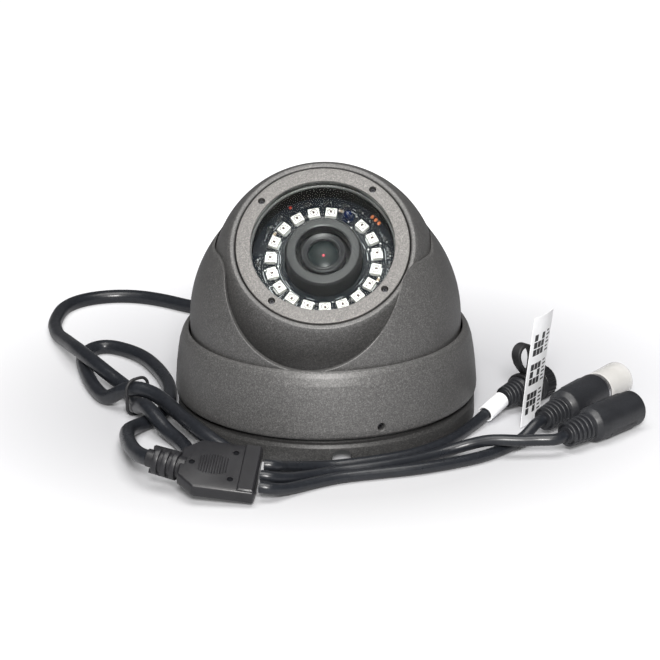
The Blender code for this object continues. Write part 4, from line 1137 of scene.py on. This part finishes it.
def video_plug():
    """The bayonet video plug: its boot, barrel, insulator and contact, and the clear cap on it."""
    spot = along(VIDEO_START, VIDEO_AXIS)
    body = boot("video_boot_fine", VIDEO_START, VIDEO_AXIS, 29.6, 5.95, 4.7, 6.0, ["video_boot"])
    barrel = rounded([
        (4.4, 41.1, 0.25), (4.4, 31.2), (5.3, 31.2, 0.2), (5.3, 29.9, 0.2), (4.4, 29.9), (4.4, 23.9),
        (3.9, 23.9), (3.9, 41.1, 0.15),
    ])
    stud = rounded([(0, 4.95), (0.9, 4.95, 0.25), (0.9, 4.1), (0, 4.1)])
    bm = bmesh.new()
    spin_into(bm, barrel, 64)
    for sign in (-1, 1):
        spin_into(bm, stud, 24, along((0, 0, 38.1), (sign, 0, 0)))
    shell_piece = place("video_shell_fine", bm, STEEL, "base", "steel", ["video_shell"], spot)
    insulator = rounded([(3.6, 38.6, 0.3), (3.6, 23.9), (1.2, 23.9), (1.2, 38.6, 0.2)])
    inside = turned("video_insulator_fine", insulator, NYLON, "base", "nylon", ["video_insulator"], spot, 40)
    contact = rounded([(0, 37.6), (0.9, 37.6, 0.3), (0.9, 24.2), (0, 24.2)])
    pin = turned("video_contact_fine", contact, BRASS, "base", "brass", ["video_contact"], spot, 20)
    cap = rounded([
        (0, 45.8), (4.3, 45.6, 1.2), (5.75, 43.8, 1.2), (5.75, 31.5, 0.3), (5.25, 31.5, 0.15),
        (5.25, 43.4, 0.9), (4.2, 44.8, 0.6), (0, 44.9),
    ])
    turned("video_cap_fine", cap, VINYL, "video_cap", "vinyl", ["video_cap"], spot, 64)
    return [body, shell_piece, inside, pin]


def service_plug():
    """The small waterproof connector: its boot, knurled cap, seal and strap."""
    spot = along(SERVICE_START, SERVICE_AXIS)
    bm = bmesh.new()
    outline = rounded([
        (3.2, 18.5, 0.2), (3.2, 12.7), (4.9, 12.7, 0.2), (4.9, 10.5, 0.2), (4.3, 10.5), (4.3, 7.5),
        (4.9, 7.5, 0.3), (4.3, 6.2, 0.4), (2.8, 5.9), (2.6, 0, 0.3), (0, 0), (0, 14.5), (2.6, 14.5),
        (2.6, 18.5, 0.15),
    ])
    spin_into(bm, outline, 80)
    ribs_into(bm, 0.2, 6.2, 3.3, 4.2, 4, 0.58, 1.2)
    body = place("service_boot_fine", bm, BOOT, "base", "black_plastic", ["service_boot"], spot)
    bm = bmesh.new()
    cap = rounded([
        (0, 20.9), (5.3, 20.9, 0.7), (5.3, 16.3, 0.3), (4.3, 16.1, 0.1), (4.3, 13.3, 0.2), (3.5, 13.3, 0.1),
        (3.5, 19.1), (0, 19.1),
    ])
    spin_into(bm, cap, 80)
    ridges = 26
    for grip in at_angles(5.15, [360 * k / ridges for k in range(ridges)]):
        slab_into(bm, (0.75, 0.62, 4.0), 0.22, 0.15, grip @ shift(0, 0, 16.4))
    place("service_cap_fine", bm, BLACK, "service_cap", "black_plastic", ["service_cap"], spot)
    seal = rounded([(0, 18.8), (2.3, 18.8, 0.2), (2.3, 14.8, 0.2), (0, 14.8)])
    turned("service_seal_fine", seal, RUBBER, "service_cap", "rubber", ["service_seal"], spot, 32)
    bm = bmesh.new()
    for low, high in ((8.1, 9.9), (13.8, 15.7)):
        spin_into(bm, rounded([(4.6, low, 0.2), (5.5, low, 0.3), (5.5, high, 0.3), (4.6, high, 0.2)]), 64)
    strap = place("cap_strap_fine", bm, RUBBER, "base", "rubber", ["cap_strap"], spot)
    return [body, strap, strap_loop()]


def strap_loop():
    """The strap's loop over the connector: a flat band that follows an arch."""
    up = Vector((0, 0, 1))
    plane = Matrix((SERVICE_AXIS, up, SERVICE_AXIS.cross(up))).transposed().to_4x4()
    stand = Matrix.Translation(SERVICE_START + 11.9 * SERVICE_AXIS) @ plane
    top = arc((0, 11.4), 4.45, 0, 180, 18)
    outline = [(-1.9, 5.0), (1.9, 5.0), (3.2, 7.0), (4.2, 9.2), *top, (-4.2, 9.2), (-3.2, 7.0)]
    section = [
        (0.2, -1.6), (0, -1.35), (0, 1.35), (0.2, 1.6), (1.1, 1.6), (1.3, 1.35), (1.3, -1.35), (1.1, -1.6),
    ]
    middle = Vector((0, 10.4))
    bm = bmesh.new()
    rings = []
    for inset, z in section:
        ring = []
        for point in outline:
            out = Vector(point) - middle
            x, y = middle + out * (1 - inset / out.length)
            ring.append(bm.verts.new((x - STRAP_LEAN * (y - 5.15), y, z)))
        rings.append(ring)
    bridge(bm, rings, closed=True)
    return place("strap_loop_fine", bm, RUBBER, "base", "rubber", (), stand)


def on_flag(u, t, lift):
    """A point of the flag: u runs across it and t up it, both from 0 to 1, and lift stands off its face."""
    across = heading(FLAG_HEADING)
    lean = Vector((0.08, 0.0, 1.0)).normalized()
    outward = across.cross(lean).normalized()
    curl = Vector((t * t, 0, 0)) + outward * 0.5 * math.sin(math.pi * u) * (0.4 + t)
    return FLAG_FOOT + lean * (FLAG_HEIGHT * t) + across * (FLAG_WIDTH * u) + curl + outward * lift


def flag_patch_into(bm, u_range, t_range, lifts, columns=3, rows=3):
    """Adds a thin closed patch that follows the flag, between two lifts."""
    across = [u_range[0] + (u_range[1] - u_range[0]) * i / columns for i in range(columns + 1)]
    up = [t_range[0] + (t_range[1] - t_range[0]) * j / rows for j in range(rows + 1)]
    front, back = ([[bm.verts.new(on_flag(u, t, lift)) for u in across] for t in up] for lift in lifts)
    for layer in (front, back):
        for j in range(rows):
            for i in range(columns):
                bm.faces.new((layer[j][i], layer[j][i + 1], layer[j + 1][i + 1], layer[j + 1][i]))
    rim = [(0, i) for i in range(columns)] + [(j, columns) for j in range(rows)]
    rim += [(rows, i) for i in range(columns, 0, -1)] + [(j, 0) for j in range(rows, 0, -1)]
    bridge(bm, [[layer[j][i] for j, i in rim] for layer in (front, back)])


def label():
    """The label's sleeve on the service tail, and its paper flag with plain printed blocks on both faces."""
    spot = along(SERVICE_START - 1.5 * SLEEVE_AXIS, -SLEEVE_AXIS)
    sleeve = rounded([(2.7, 0, 0.15), (2.7, 9.5, 0.15), (2.2, 9.5), (2.2, 0)])
    wrap = turned("label_sleeve_fine", sleeve, PAPER, "base", "paper", ["label_sleeve"], spot, 64)
    bm = bmesh.new()
    flag_patch_into(bm, (0, 1), (0, 1), (-0.09, 0.09), 8, 24)
    flag = place("label_flag_fine", bm, PAPER, "base", "paper", ["label_flag"], None, 60)
    ink = bmesh.new()

    def print_block(u, t, width, height):
        for lift in (-0.12, 0.12):
            flag_patch_into(ink, (u, u + width), (t, t + height), (lift, lift * 0.7))

    for group in range(3):
        low = 0.10 + 0.27 * group
        for row in range(3):
            for column in range(3):
                if (row, column) != (group, 1):
                    print_block(0.14 + 0.17 * column, low + 0.068 * row, 0.145, 0.058)
        for row in range(6):
            print_block(0.74, low + 0.036 * row, 0.14 if row % 2 else 0.2, 0.014)
    mark = place("label_blocks", ink, INK, "base", "paper", (), None, 60)
    return [wrap, flag, mark]


# ---------------------------------------------------------------- the lead


def lead():
    """The main lead with its wire tie, the splitter, and the three tails with their plugs."""
    entry = tuple(RELIEF_PLACE @ Vector((-11.3, 0, 0)))
    splitter()
    grommet = base_grommet()
    route = MAIN_ROUTE + [entry]
    main, length = cable("main_cable_fine", route, LEAD_DIAMETER, JACKET, replaces=["main_cable"])
    loop = []
    for x, z, start in ((1.2, -2.8, -90), (1.2, 2.8, 0), (-1.2, 2.8, 90), (-1.2, -2.8, 180)):
        loop += arc((x, z), 3.05, start, start + 90, 4)
    ring = [TIE_CENTRE + TIE_ACROSS * x + Vector((0, 0, z)) for x, z in loop]
    tie, _ = cable("wire_tie", ring + ring[:1], 1.0, RUBBER, ["cable_tie"], True, 0.5)
    for name, route, pieces in (
        ("service_tail", SERVICE_ROUTE, service_plug() + label()),
        ("power_tail", POWER_ROUTE, power_plug()),
        ("video_tail", VIDEO_ROUTE, video_plug() + [bpy.data.objects["video_cap_fine"]]),
    ):
        tail, length = cable(name + "_fine", route, TAIL_DIAMETER, JACKET, replaces=[name])
        if name == "service_tail":
            pieces += [bpy.data.objects[n] for n in ("service_cap_fine", "service_seal_fine")]


def carried_over():
    """Gives the CAD pieces that stay their finishes."""
    finishes = {
        STEEL: (
            "pan_retainer", "retainer_screw_1", "retainer_screw_2", "retainer_screw_3", "tilt_yoke",
            "trunnion_pin_left", "trunnion_pin_right", "swivel_clip",
        ),
        NYLON: ("pan_washer", "lead_plug"),
        JACKET: ("inner_lead",),
        BLACK: ("lens_holder",),
        CIRCUIT: ("sensor_board",),
        PHOTOCELL: ("image_sensor",),
        BRASS: ("board_pillar_1", "board_pillar_2", "board_pillar_3", "board_pillar_4"),
    }
    for material, names in finishes.items():
        for name in names:
            node = bpy.data.objects[name]
            node.data.materials.clear()
            node.data.materials.append(material)


camera()
studio()
lead()
base_casting()
collar()
shell()
ball_pieces()
board_pieces()
lens_pieces()
carried_over()
